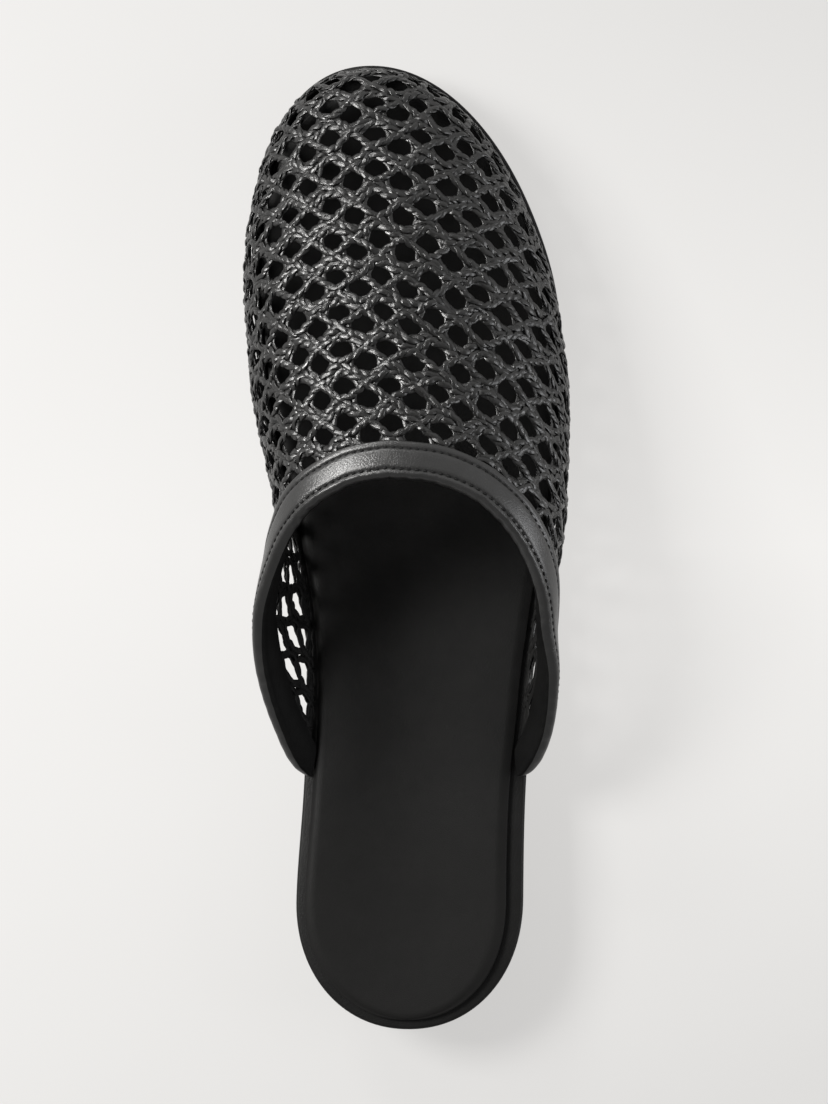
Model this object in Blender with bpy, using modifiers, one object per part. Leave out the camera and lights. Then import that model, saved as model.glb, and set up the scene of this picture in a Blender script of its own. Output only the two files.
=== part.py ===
"""Mesh mule for the right foot: crocheted upper, collar binding, insole, outsole and low heel.

Frame: +Y runs from heel to toe, +X to the outer (lateral) side, -X to the inner (medial) side and
+Z up. The origin is on the floor under the middle of the shoe's box. Sizes and tables are in
millimetres, and meshes are written in metres.

A girth position g names a place across the upper: -2 medial feather line (where upper meets sole),
-1 medial bulge, 0 ridge, 1 lateral bulge, 2 lateral feather line.
"""

import math
from collections import namedtuple

import bmesh
import bpy
import numpy as np
from mathutils import Vector
from mathutils.geometry import delaunay_2d_cdt

MM = 0.001

# Driving dimensions
LENGTH = 256.0
GAP = 0.3
SOLE_THICKNESS = 5.3
SOLE_UNDERCUT = 1.6
SOLE_EDGE_ROUND = 0.9
UPPER_INSET = 0.6
UPPER_WALL = 2.2
UPPER_TOE_LIFT = 0.9
INSOLE_INSET = 3.3
INSOLE_TOE_INSET = 6.0
INSOLE_THICKNESS = 2.0
INSOLE_EDGE_ROUND = 0.8
HEEL_INSET = 1.4
HEEL_TAPER = 1.6
HEEL_BREAST = -59.0
HEEL_EDGE_ROUND = 0.8
BINDING_WIDTH = 8.0
BINDING_LEATHER = 1.2
BINDING_CLEARANCE = 0.5
BINDING_END = 1.92

# Round ends of the outline and of the toe's profile
TOE_ROUND_START = 60.0
TOE_ROUND_POWER = 2.06
HEEL_ROUND_START = -93.0
HEEL_ROUND_POWER = 2.1
TOE_RISE_START = 80.0
TOE_RISE_POWER = 2.0
SIDE_WALL_POWER = 1.7

# Crochet rows run across the upper. Gaps stand high and low by turns in a row, and of the rows by turns
# the high or the low ones are open in this wall.
ROW_PITCH = 9.96
ROW_ZERO = 11.4
ROW_ARCH = 0.0053
ROW_TILT_AT_COLLAR = 0.09
ROW_TILT_FALL = 0.0012
FIRST_ROW = -7
LAST_ROW = 10
COLUMN_ZERO = 1.6
COLUMN_PITCH = 12.75
OUTER_COLUMN = 7
GAP_STAGGER = 1.4
GAP_WIDTH = 5.8
GAP_HEIGHT = 5.4
GAP_CORNERS = 6
MARGIN_AT_FEATHER = 6.5
MARGIN_AT_COLLAR = 2.0
GUIDE_SPACING = 5.6

SoleRow = namedtuple("SoleRow", "station centre half_width top")
SOLE_ROWS = (
    SoleRow(-128.0, 0.25, 30.7, 19.5),
    SoleRow(-91.0, 0.85, 30.2, 18.9),
    SoleRow(-64.0, 1.9, 29.6, 16.8),
    SoleRow(-40.0, 2.95, 29.8, 13.4),
    SoleRow(-18.0, 3.25, 31.6, 9.4),
    SoleRow(5.0, 2.65, 35.6, 6.4),
    SoleRow(25.0, 1.55, 39.2, 5.3),
    SoleRow(48.0, -0.15, 41.2, 5.3),
    SoleRow(70.0, -2.45, 41.2, 5.3),
    SoleRow(90.0, -5.05, 40.9, 6.2),
    SoleRow(110.0, -7.85, 41.2, 9.2),
    SoleRow(128.0, -10.35, 41.8, 13.6),
)

UpperRow = namedtuple("UpperRow", "station medial_bulge lateral_bulge bulge_rise ridge_shift ridge_rise")
UPPER_ROWS = (
    UpperRow(-64.0, 5.9, 5.9, 22.0, -0.5, 70.0),
    UpperRow(-50.0, 9.4, 8.6, 24.0, -0.5, 68.0),
    UpperRow(-35.0, 11.0, 8.0, 25.5, -0.8, 66.0),
    UpperRow(-20.0, 9.4, 5.9, 26.0, -1.0, 64.0),
    UpperRow(0.0, 2.9, 6.0, 24.5, -1.5, 59.5),
    UpperRow(9.0, 0.8, 5.6, 22.5, -1.7, 57.5),
    UpperRow(18.0, 0.4, 4.4, 20.0, -2.0, 54.5),
    UpperRow(40.0, 1.6, 3.0, 15.0, -2.6, 48.5),
    UpperRow(68.0, 1.4, 1.4, 11.5, -2.6, 41.5),
    UpperRow(90.0, 0.9, 0.4, 9.0, -2.0, 35.5),
    UpperRow(110.0, 0.5, 0.0, 7.5, -1.0, 31.0),
    UpperRow(128.0, 0.0, 0.0, 7.0, 0.0, 28.0),
)

# Reach counts girth from the ridge. Below the bulge, where the wall is shorter, it grows more slowly.
SIDE_WALL_REACH = 0.42
CollarRow = namedtuple("CollarRow", "reach medial lateral")
COLLAR_ROWS = (
    CollarRow(0.0, 19.4, 19.4),
    CollarRow(0.15, 18.1, 18.4),
    CollarRow(0.3, 15.0, 15.0),
    CollarRow(0.45, 10.9, 8.4),
    CollarRow(0.6, 5.2, -0.6),
    CollarRow(0.8, -6.1, -13.5),
    CollarRow(0.9, -13.6, -21.6),
    CollarRow(1.0, -22.7, -30.3),
    CollarRow(1.105, -34.1, -39.5),
    CollarRow(1.21, -45.8, -48.8),
    CollarRow(1.315, -54.9, -56.2),
    CollarRow(1.42, -62.0, -62.0),
)

InsoleRow = namedtuple("InsoleRow", "station cup arch_pad")
INSOLE_ROWS = (
    InsoleRow(-125.0, 1.2, 0.0),
    InsoleRow(-90.0, 1.2, 0.2),
    InsoleRow(-40.0, 0.8, 1.2),
    InsoleRow(0.0, 0.6, 1.0),
    InsoleRow(50.0, 0.7, 0.0),
    InsoleRow(125.0, 0.2, 0.0),
)


class FairCurve:
    """A smooth curve through one column of a table that never overshoots the column's values."""

    def __init__(self, rows, column, along="station"):
        self.at = np.array([getattr(row, along) for row in rows], float)
        self.value = np.array([getattr(row, column) for row in rows], float)
        step = np.diff(self.at)
        slope = np.diff(self.value) / step
        self.tangent = np.concatenate(([slope[0]], np.zeros(len(step) - 1), [slope[-1]]))
        for i in range(1, len(step)):
            if slope[i - 1] * slope[i] > 0:
                before = 2 * step[i] + step[i - 1]
                after = step[i] + 2 * step[i - 1]
                self.tangent[i] = (before + after) / (before / slope[i - 1] + after / slope[i])

    def __call__(self, at):
        at = np.clip(at, self.at[0], self.at[-1])
        i = np.clip(np.searchsorted(self.at, at) - 1, 0, len(self.at) - 2)
        step = self.at[i + 1] - self.at[i]
        t = (at - self.at[i]) / step
        ends = (1 + 2 * t) * (1 - t) ** 2 * self.value[i] + t * t * (3 - 2 * t) * self.value[i + 1]
        slopes = t * (1 - t) ** 2 * self.tangent[i] + t * t * (t - 1) * self.tangent[i + 1]
        return ends + slopes * step


sole_centre = FairCurve(SOLE_ROWS, "centre")
sole_full_half_width = FairCurve(SOLE_ROWS, "half_width")
sole_top = FairCurve(SOLE_ROWS, "top")
medial_bulge = FairCurve(UPPER_ROWS, "medial_bulge")
lateral_bulge = FairCurve(UPPER_ROWS, "lateral_bulge")
bulge_rise = FairCurve(UPPER_ROWS, "bulge_rise")
ridge_shift = FairCurve(UPPER_ROWS, "ridge_shift")
ridge_rise = FairCurve(UPPER_ROWS, "ridge_rise")
medial_collar = FairCurve(COLLAR_ROWS, "medial", "reach")
lateral_collar = FairCurve(COLLAR_ROWS, "lateral", "reach")
insole_cup = FairCurve(INSOLE_ROWS, "cup")
insole_arch_pad = FairCurve(INSOLE_ROWS, "arch_pad")


def closing(at, start, end, power):
    """A factor that falls from 1 at start to 0 at end as a round end does."""
    share = np.clip((at - start) / (end - start), 0.0, 1.0)
    return (1.0 - share**power) ** (1.0 / power)


def sole_half_width(y, inset=0.0, toe_inset=None):
    """Half the sole's width at a station, with its outline pulled in by inset, or by toe_inset at the toe."""
    toe_end = LENGTH / 2 - (inset if toe_inset is None else toe_inset)
    toe = closing(y, TOE_ROUND_START, toe_end, TOE_ROUND_POWER)
    heel = closing(y, HEEL_ROUND_START, inset - LENGTH / 2, HEEL_ROUND_POWER)
    return (sole_full_half_width(y) - inset) * toe * heel


def insole_top(y, across):
    """Height of the insole's cupped face, across running from -1 (medial edge) to 1."""
    fading = sole_half_width(y) / sole_full_half_width(y)
    hollow = insole_cup(y) * (1 - across**2) ** 1.5 * fading
    pad = insole_arch_pad(y) * np.exp(-(((across + 0.7) / 0.35) ** 2))
    return sole_top(y) + GAP + INSOLE_THICKNESS - hollow + pad


def upper_point(y, g):
    """Points of the upper's outer face at stations y and girth positions g."""
    y, g = np.broadcast_arrays(np.asarray(y, float), np.asarray(g, float))
    side = np.where(g < 0, -1.0, 1.0)
    toe_end = LENGTH / 2 - UPPER_INSET
    plan_closing = closing(y, TOE_ROUND_START, toe_end, TOE_ROUND_POWER)
    rise_closing = closing(y, TOE_RISE_START, toe_end, TOE_RISE_POWER)
    feather_x = sole_centre(y) + side * sole_half_width(y, UPPER_INSET)
    bulge_out = np.where(side < 0, medial_bulge(y), lateral_bulge(y))
    bulge_x = feather_x + side * bulge_out * plan_closing
    ridge_x = sole_centre(y) + ridge_shift(y) * plan_closing
    feather_z = sole_top(y) + GAP + UPPER_TOE_LIFT * (1 - rise_closing)
    bulge_z = feather_z + bulge_rise(y) * rise_closing
    ridge_z = feather_z + ridge_rise(y) * rise_closing
    over = np.clip(np.abs(g), 0, 1) * math.pi / 2
    under = np.clip(np.abs(g) - 1, 0, 1)
    x = ridge_x + (bulge_x - ridge_x) * np.sin(over) + (feather_x - bulge_x) * under**SIDE_WALL_POWER
    z = bulge_z + (ridge_z - bulge_z) * np.cos(over) - (bulge_z - feather_z) * under
    return np.stack([x, y, z], axis=-1)


def upper_slopes(y, g):
    """How the upper's face moves with y and with g, and its outward unit normal."""
    nudge_y = 0.05
    nudge_g = 0.005
    g = np.clip(g, -1.98, 1.98)
    along = (upper_point(y + nudge_y, g) - upper_point(y - nudge_y, g)) / (2 * nudge_y)
    around = (upper_point(y, g + nudge_g) - upper_point(y, g - nudge_g)) / (2 * nudge_g)
    normal = np.cross(around, along)
    return along, around, normal / np.linalg.norm(normal, axis=-1, keepdims=True)


def collar_station(g):
    """Station of the collar's edge at a girth position."""
    reach = np.clip(np.abs(g), 0, 1) + SIDE_WALL_REACH * np.clip(np.abs(g) - 1, 0, 1)
    return np.where(np.asarray(g) < 0, medial_collar(reach), lateral_collar(reach))


class Flat:
    """The upper laid flat: distance u round it from its ridge, and run v along its ridge from the collar."""

    def __init__(self):
        toe_end = LENGTH / 2 - UPPER_INSET
        reach = toe_end - COLLAR_ROWS[-1].medial
        self.stations = toe_end - reach * (1 - np.sin(np.linspace(0, math.pi / 2, 181)))
        self.g = np.linspace(-2, 2, 161)
        face = upper_point(self.stations[:, None], self.g[None, :])
        steps = np.linalg.norm(np.diff(face, axis=1), axis=-1)
        distance = np.concatenate([np.zeros((len(face), 1)), np.cumsum(steps, axis=1)], axis=1)
        self.distance = distance - distance[:, [len(self.g) // 2]]
        ridge = face[:, len(self.g) // 2]
        run = np.concatenate([[0.0], np.cumsum(np.linalg.norm(np.diff(ridge, axis=0), axis=-1))])
        self.runs = run - np.interp(COLLAR_ROWS[0].medial, self.stations, run)

    def run(self, y):
        """Run along the ridge at station y."""
        return float(np.interp(y, self.stations, self.runs))

    def station(self, v):
        """Station that lies this far along the ridge."""
        return float(np.interp(v, self.runs, self.stations))

    def row(self, y):
        """Distances from the ridge, at station y, of each position in self.g."""
        i = int(np.clip(np.searchsorted(self.stations, y) - 1, 0, len(self.stations) - 2))
        t = (y - self.stations[i]) / (self.stations[i + 1] - self.stations[i])
        t = min(max(t, 0.0), 1.0)
        return (1 - t) * self.distance[i] + t * self.distance[i + 1]

    def position(self, u, y):
        """Girth position that lies this far from the ridge at station y."""
        return float(np.interp(u, self.row(y), self.g))

    def place(self, y, g):
        """Flat place (u, v) of girth position g at station y."""
        return (float(np.interp(g, self.g, self.row(y))), self.run(y))

    def point(self, u, v):
        """Point of the upper's outer face at a flat place."""
        y = self.station(v)
        return upper_point(y, self.position(u, y))


def clear_scene():
    """Starts from an empty scene."""
    for obj in list(bpy.data.objects):
        bpy.data.objects.remove(obj)


def finish(name, colour, roughness):
    """A plain material of this colour and roughness."""
    material = bpy.data.materials.new(name)
    material.use_nodes = True
    shader = material.node_tree.nodes["Principled BSDF"]
    shader.inputs["Base Color"].default_value = (*colour, 1.0)
    shader.inputs["Roughness"].default_value = roughness
    shader.inputs["Metallic"].default_value = 0.0
    return material


def place(name, shape, material, collection, root):
    """Makes a mesh object from a bmesh in millimetres and puts it under the shoe's root."""
    bmesh.ops.scale(shape, vec=(MM, MM, MM), verts=shape.verts)
    mesh = bpy.data.meshes.new(name)
    shape.to_mesh(mesh)
    shape.free()
    mesh.shade_smooth()
    mesh.set_sharp_from_angle(angle=math.radians(40))
    mesh.materials.append(material)
    obj = bpy.data.objects.new(name, mesh)
    collection.objects.link(obj)
    obj.parent = root
    return obj


def loft(rings):
    """A closed solid through rings of equally many points, with its two ends capped."""
    shape = bmesh.new()
    loops = [[shape.verts.new(point) for point in ring] for ring in rings]
    count = len(loops[0])
    for loop, following in zip(loops, loops[1:]):
        for i in range(count):
            j = (i + 1) % count
            shape.faces.new((loop[i], loop[j], following[j], following[i]))
    shape.faces.new(loops[0][::-1])
    shape.faces.new(loops[-1])
    bmesh.ops.recalc_face_normals(shape, faces=shape.faces)
    return shape


def shares(count):
    """Places from heel (-1) to toe (1), closer together at the round ends."""
    return [-math.cos(math.pi * (i + 0.5) / count) for i in range(count)]


def edge_point(share, side, inset, height, toe_inset=None):
    """Point on the sole's outline pulled in by inset, at a height given as a function of station."""
    toe_end = LENGTH / 2 - (inset if toe_inset is None else toe_inset)
    heel_end = inset - LENGTH / 2
    y = heel_end + (toe_end - heel_end) * (share + 1) / 2
    x = sole_centre(y) + side * sole_half_width(y, inset, toe_inset)
    return (float(x), float(y), float(height(y, side)))


def build_outsole():
    """The sole's sheet: true outline, arch and toe spring, its edge undercut and rounded."""
    layers = (
        (SOLE_UNDERCUT + SOLE_EDGE_ROUND, SOLE_THICKNESS),
        (SOLE_UNDERCUT, SOLE_THICKNESS - SOLE_EDGE_ROUND),
        (0.0, SOLE_EDGE_ROUND),
        (SOLE_EDGE_ROUND, 0.0),
    )

    def ring(share):
        def layer_point(side, inset, depth):
            return edge_point(share, side, inset, lambda y, _: sole_top(y) - depth)

        lateral = [layer_point(1, inset, depth) for inset, depth in layers]
        medial = [layer_point(-1, inset, depth) for inset, depth in layers]
        return lateral + medial[::-1]

    return loft([ring(share) for share in shares(44)])


def build_heel():
    """A low heel block under the seat, with a flat foot, a slight taper and a straight breast."""
    layers = (
        (HEEL_INSET + HEEL_TAPER + HEEL_EDGE_ROUND, 0.0),
        (HEEL_INSET + HEEL_TAPER, HEEL_EDGE_ROUND),
        (HEEL_INSET + SOLE_UNDERCUT, None),
    )

    def point(step, side, inset, height):
        back = inset - LENGTH / 2
        y = back + (HEEL_BREAST - back) * step
        x = sole_centre(y) + side * sole_half_width(y, inset)
        z = sole_top(y) - SOLE_THICKNESS - GAP if height is None else height
        return (float(x), float(y), float(z))

    def ring(step):
        lateral = [point(step, 1, inset, height) for inset, height in layers]
        medial = [point(step, -1, inset, height) for inset, height in layers]
        return lateral + medial[::-1]

    count = 22
    return loft([ring(1 - math.cos(math.pi / 2 * (i + 0.5) / (count - 0.5))) for i in range(count)])


def build_insole():
    """A leather insole with a cupped top and rounded edges, lying on the sole inside the upper."""
    columns = np.linspace(-1, 1, 11)

    def wall_point(share, side, rise):
        return edge_point(share, side, INSOLE_INSET, lambda y, _: sole_top(y) + GAP + rise, INSOLE_TOE_INSET)

    def top_point(share, across):
        inset = INSOLE_INSET + INSOLE_EDGE_ROUND
        toe_inset = INSOLE_TOE_INSET + INSOLE_EDGE_ROUND
        return edge_point(share, across, inset, insole_top, toe_inset)

    def ring(share):
        shoulder = INSOLE_THICKNESS - INSOLE_EDGE_ROUND
        under = [wall_point(share, 1, 0.0), wall_point(share, -1, 0.0), wall_point(share, -1, shoulder)]
        top = [top_point(share, across) for across in columns]
        return [*under, *top, wall_point(share, 1, shoulder)]

    return loft([ring(share) for share in shares(34)])


def gap_outlines(flat):
    """Outlines, as flat places, of the crochet gaps that are open here."""
    turns = [2 * math.pi * (corner + 0.5) / GAP_CORNERS for corner in range(GAP_CORNERS)]
    outlines = []
    for row in range(FIRST_ROW, LAST_ROW + 1):
        low = row % 2
        for column in range(-OUTER_COLUMN, OUTER_COLUMN + 1):
            middle_u = COLUMN_ZERO + COLUMN_PITCH * (column + 0.5 * low)
            middle_v = ROW_ZERO + ROW_PITCH * row + GAP_STAGGER * (1 - 2 * low)
            tilt = ROW_TILT_AT_COLLAR - ROW_TILT_FALL * middle_v
            middle_v -= ROW_ARCH * middle_u**2 + tilt * middle_u
            corners = []
            for turn in turns:
                u = middle_u + GAP_WIDTH / 2 * math.cos(turn)
                v = middle_v + GAP_HEIGHT / 2 * math.sin(turn)
                corners.append((u, v))
            if all(inside_margins(flat, u, v) for u, v in corners):
                outlines.append(corners)
    return outlines


def inside_margins(flat, u, v):
    """True where a gap's corner is clear of the feather line, of the binding and of the toe's tip."""
    y = flat.station(v)
    ends = flat.row(y)
    in_reach = ends[0] + MARGIN_AT_FEATHER < u < ends[-1] - MARGIN_AT_FEATHER
    if v > flat.runs[-1] - MARGIN_AT_FEATHER or not in_reach:
        return False
    collar = flat.run(float(collar_station(flat.position(u, y))))
    return v > collar + BINDING_WIDTH + MARGIN_AT_COLLAR


def upper_outline(flat):
    """The upper's edge as flat places: up the medial feather line, down the lateral one, then the collar."""
    back = flat.run(COLLAR_ROWS[-1].medial)
    toe = flat.runs[-1]
    along = [flat.station(back + (toe - back) * math.sin(math.pi / 2 * i / 34)) for i in range(33)]
    medial = [flat.place(y, -2) for y in along]
    lateral = [flat.place(y, 2) for y in reversed(along)]
    collar = [flat.place(float(collar_station(g)), g) for g in collar_positions()[-2:0:-1]]
    return medial + lateral + collar


def collar_positions():
    """Girth positions along the collar's edge, from the medial end to the lateral end."""
    return [2 * math.sin(math.pi / 2 * t) * (0.6 + 0.4 * abs(t)) for t in np.linspace(-1, 1, 57)]


def contains(outline, point):
    """True if a point lies inside a flat outline."""
    x, y = point
    inside = False
    for (xa, ya), (xb, yb) in zip(outline, outline[1:] + outline[:1]):
        if (ya > y) != (yb > y) and x < (xb - xa) * (y - ya) / (yb - ya) + xa:
            inside = not inside
    return inside


def nearest(outline, point):
    """Distance from a point to the nearest corner of an outline."""
    return min(math.dist(corner, point) for corner in outline)


def guide_points(flat, edge, gaps):
    """Flat places in rows that keep the wall's triangles even."""
    found = []
    for v in np.arange(flat.run(COLLAR_ROWS[-1].medial), flat.runs[-1], GUIDE_SPACING):
        for u in np.arange(-15, 16) * GUIDE_SPACING:
            place = (float(u), float(v))
            clear = all(nearest(outline, place) > 0.55 * GUIDE_SPACING for outline in [edge, *gaps])
            if clear and contains(edge, place) and not any(contains(gap, place) for gap in gaps):
                found.append(place)
    return found


def build_upper():
    """The crocheted upper as an open wall with half its gaps cut, before it gets its thickness."""
    flat = Flat()
    edge = upper_outline(flat)
    gaps = gap_outlines(flat)
    places = list(edge)
    rims = [[i, (i + 1) % len(edge)] for i in range(len(edge))]
    for gap in gaps:
        first = len(places)
        places += gap
        rims += [[first + i, first + (i + 1) % len(gap)] for i in range(len(gap))]
    places += guide_points(flat, edge, gaps)
    points, _, triangles, *_ = delaunay_2d_cdt([Vector(place) for place in places], rims, [], 0, 1e-5)
    shape = bmesh.new()
    verts = [shape.verts.new(flat.point(point.x, point.y)) for point in points]
    for triangle in triangles:
        middle = tuple(sum((points[i] for i in triangle), Vector((0, 0))) / 3)
        if contains(edge, middle) and not any(contains(gap, middle) for gap in gaps):
            shape.faces.new([verts[i] for i in triangle])
    loose = [vert for vert in shape.verts if not vert.link_faces]
    bmesh.ops.delete(shape, geom=loose, context="VERTS")
    bmesh.ops.recalc_face_normals(shape, faces=shape.faces)
    if sum(face.normal.z for face in shape.faces) < 0:
        bmesh.ops.reverse_faces(shape, faces=shape.faces)
    return shape


def walk_inward(g, depths):
    """Stations and girth positions at these rising depths in from the collar's edge at girth position g."""
    nudge = 0.005
    start = float(collar_station(g))
    ahead = upper_point(collar_station(g + nudge), g + nudge)
    behind = upper_point(collar_station(g - nudge), g - nudge)
    inward = np.cross(upper_slopes(start, g)[2], ahead - behind)
    inward *= math.copysign(1 / np.linalg.norm(inward), inward[1])
    places = {0: (start, g)}
    edge = int(np.searchsorted(depths, 0.0))
    for order in (range(edge + 1, len(depths)), range(edge - 1, -1, -1)):
        (y, position), way, depth = (start, g), inward, 0.0
        for i in order:
            along, around, _ = upper_slopes(y, position)
            slopes = np.stack([along, around], axis=1)
            move = np.linalg.lstsq(slopes, way, rcond=None)[0]
            move /= np.linalg.norm(slopes @ move)
            way = slopes @ move
            y, position = np.array([y, position]) + move * (depths[i] - depth)
            depth = depths[i]
            places[i - edge] = (y, position)
    return np.array([places[i - edge] for i in range(len(depths))]).T


def binding_ring(g):
    """One section of the folded binding strip, where the collar's edge is at girth position g."""
    depths = np.arange(-24, 69) * 0.125
    stations, positions = walk_inward(g, depths)

    def at(depth, height):
        where_y = np.interp(depth, depths, stations)
        where_g = np.interp(depth, depths, positions)
        return upper_point(where_y, where_g) + height * upper_slopes(where_y, where_g)[2]

    def depth_above(height, floor):
        """How deep the band can go, up to its width, before it comes down to a floor."""
        tried = np.linspace(0.0, BINDING_WIDTH, 39)
        low = [depth for depth in tried if at(depth, height)[2] < floor(at(depth, height)[1])]
        return max(low[0] - tried[1], 0.4) if low else BINDING_WIDTH

    outer_face = BINDING_CLEARANCE + BINDING_LEATHER
    inner_face = -UPPER_WALL - BINDING_CLEARANCE - BINDING_LEATHER
    inner_wall = -UPPER_WALL - BINDING_CLEARANCE
    outer = depth_above(outer_face, lambda where: sole_top(where) + GAP)
    inner = depth_above(inner_face, lambda where: sole_top(where) + GAP + INSOLE_THICKNESS + 2 * GAP)
    fold_middle = (outer_face + inner_face) / 2
    fold_radius = (outer_face - inner_face) / 2
    fold = [
        at(-0.75 * fold_radius * math.cos(turn), fold_middle + fold_radius * math.sin(turn))
        for turn in np.radians((45, 0, -45))
    ]
    outside = [at(outer * share, outer_face) for share in (1.0, 0.5, 0.0)]
    inside = [at(inner * share, inner_face) for share in (0.0, 0.5, 1.0)]
    inside_back = [at(inner * share, inner_wall) for share in (1.0, 0.5)]
    outside_back = [at(outer * share, BINDING_CLEARANCE) for share in (0.5, 1.0)]
    corner_in = at(-BINDING_CLEARANCE, inner_wall)
    corner_out = at(-BINDING_CLEARANCE, BINDING_CLEARANCE)
    return outside + fold + inside + inside_back + [corner_in, corner_out] + outside_back


def build_binding():
    """The leather strip folded over the collar's edge, from the upper's own face."""
    return loft([binding_ring(g) for g in collar_positions() if abs(g) <= BINDING_END])


def main():
    clear_scene()
    collection = bpy.data.collections.new("mesh_mule")
    bpy.context.scene.collection.children.link(collection)
    root = bpy.data.objects.new("mesh_mule_root", None)
    collection.objects.link(root)
    raffia = finish("black_raffia", (0.03, 0.03, 0.03), 0.5)
    binding_leather = finish("black_binding_leather", (0.025, 0.025, 0.026), 0.38)
    insole_leather = finish("black_insole_leather", (0.016, 0.016, 0.016), 0.55)
    sole_leather = finish("black_sole_leather", (0.02, 0.019, 0.018), 0.6)
    place("outsole", build_outsole(), sole_leather, collection, root)
    place("heel", build_heel(), sole_leather, collection, root)
    place("insole", build_insole(), insole_leather, collection, root)
    upper = place("upper", build_upper(), raffia, collection, root)
    wall = upper.modifiers.new("wall", "SOLIDIFY")
    wall.thickness = UPPER_WALL * MM
    wall.offset = -1.0
    place("collar_binding", build_binding(), binding_leather, collection, root)


main()
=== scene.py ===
"""Looks of a mesh mule for the right foot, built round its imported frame.

+Y runs from heel to toe, +X to the outer (lateral) side and +Z up, as in the frame. Sizes that shape
the shoe are in millimetres, and meshes and node inputs are in metres. A girth position g names a place
across the upper: -2 medial feather line, -1 medial bulge, 0 ridge, 1 lateral bulge, 2 lateral feather line.
"""

import logging
import math
from collections.abc import Callable, Sequence
from dataclasses import dataclass, field
from enum import Enum
from functools import cached_property
from typing import Any

import bpy
import numpy as np
from mathutils import Matrix, Vector
from numpy.typing import NDArray


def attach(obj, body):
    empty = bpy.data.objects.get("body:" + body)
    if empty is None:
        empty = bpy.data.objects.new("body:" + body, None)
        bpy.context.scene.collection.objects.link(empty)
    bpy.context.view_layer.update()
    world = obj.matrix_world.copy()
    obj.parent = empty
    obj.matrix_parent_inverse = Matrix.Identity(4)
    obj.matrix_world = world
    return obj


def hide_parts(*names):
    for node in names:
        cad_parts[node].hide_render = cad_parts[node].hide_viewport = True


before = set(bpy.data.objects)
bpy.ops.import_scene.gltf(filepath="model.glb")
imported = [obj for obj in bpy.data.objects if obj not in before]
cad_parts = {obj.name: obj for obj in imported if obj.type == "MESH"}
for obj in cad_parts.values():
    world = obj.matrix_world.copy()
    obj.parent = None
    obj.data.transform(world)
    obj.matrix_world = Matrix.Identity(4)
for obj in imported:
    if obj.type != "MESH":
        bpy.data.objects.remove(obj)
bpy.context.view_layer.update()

MM = 0.001
BODY = "root"
SHARP_EDGE = math.radians(60.0)
LOG = logging.getLogger("mesh_mule")
Floats = NDArray[np.float64]
Triple = tuple[float, float, float]
Colour = tuple[float, float, float, float]
Rows = tuple[tuple[float, ...], ...]
Node, Socket, Tree = bpy.types.Node, bpy.types.NodeSocket, bpy.types.NodeTree
Material, Piece = bpy.types.Material, bpy.types.Object


class Slot(Enum):
    """Material slots of the record."""

    RAFFIA = "black_raffia"
    BINDING = "black_binding_leather"
    INSOLE = "black_insole_leather"
    SOLE = "black_sole_leather"


class Twist(Enum):
    """Which way the plies of a cord turn."""

    LEFT = -1.0
    RIGHT = 1.0


class TreeKind(Enum):
    """Types of node tree."""

    SHADER = "ShaderNodeTree"
    GEOMETRY = "GeometryNodeTree"


class FairCurve:
    """A smooth curve through table values that never overshoots them."""

    def __init__(self, at: Sequence[float], value: Sequence[float]) -> None:
        """Works out the slopes at the table's rows.

        Args:
            at: Rising places of the rows.
            value: Value at each row.
        """
        self.at, self.value = np.asarray(at, float), np.asarray(value, float)
        step = np.diff(self.at)
        slope = np.diff(self.value) / step
        self.tangent = np.concatenate(([slope[0]], np.zeros(len(step) - 1), [slope[-1]]))
        for i in range(1, len(step)):
            if slope[i - 1] * slope[i] > 0:
                before, after = 2 * step[i] + step[i - 1], step[i] + 2 * step[i - 1]
                self.tangent[i] = (before + after) / (before / slope[i - 1] + after / slope[i])

    def __call__(self, at: Any) -> Floats:
        """Reads the curve.

        Args:
            at: Place or places.

        Returns:
            The value at each place, held constant past the ends.
        """
        at = np.clip(at, self.at[0], self.at[-1])
        i = np.clip(np.searchsorted(self.at, at) - 1, 0, len(self.at) - 2)
        step = self.at[i + 1] - self.at[i]
        t = (at - self.at[i]) / step
        ends = (1 + 2 * t) * (1 - t) ** 2 * self.value[i] + t * t * (3 - 2 * t) * self.value[i + 1]
        slopes = t * (1 - t) ** 2 * self.tangent[i] + t * t * (t - 1) * self.tangent[i + 1]
        return ends + slopes * step


def columns(rows: Rows) -> list[FairCurve]:
    """Returns a table's columns as curves over its first column."""
    at, *values = zip(*rows)
    return [FairCurve(at, value) for value in values]


def lengths(points: Floats) -> Floats:
    """Returns how far along its path each point lies, with paths on the first axis."""
    steps = np.linalg.norm(np.diff(points, axis=0), axis=-1)
    return np.concatenate([np.zeros((1, *steps.shape[1:])), np.cumsum(steps, axis=0)])


def closing(at: Any, start: float, end: float, power: float) -> Floats:
    """Returns a factor that falls from 1 at start to 0 at end as a round end does, squarer with power."""
    share = np.clip((np.asarray(at, float) - start) / (end - start), 0.0, 1.0)
    return (1.0 - share**power) ** (1.0 / power)


def wobble(a: Any, b: Any, salt: float) -> Floats:
    """Returns a smooth irregular value from about -1 to 1 at (a, b), another pattern for each salt."""
    waves = ((1.0, 0.37, 0.55, 4.7), (0.8, 0.83, -0.61, 2.1), (0.6, 1.71, 1.43, 7.9))
    return sum(share * np.sin(p * a + q * b + shift * salt) for share, p, q, shift in waves) / 2.0


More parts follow.
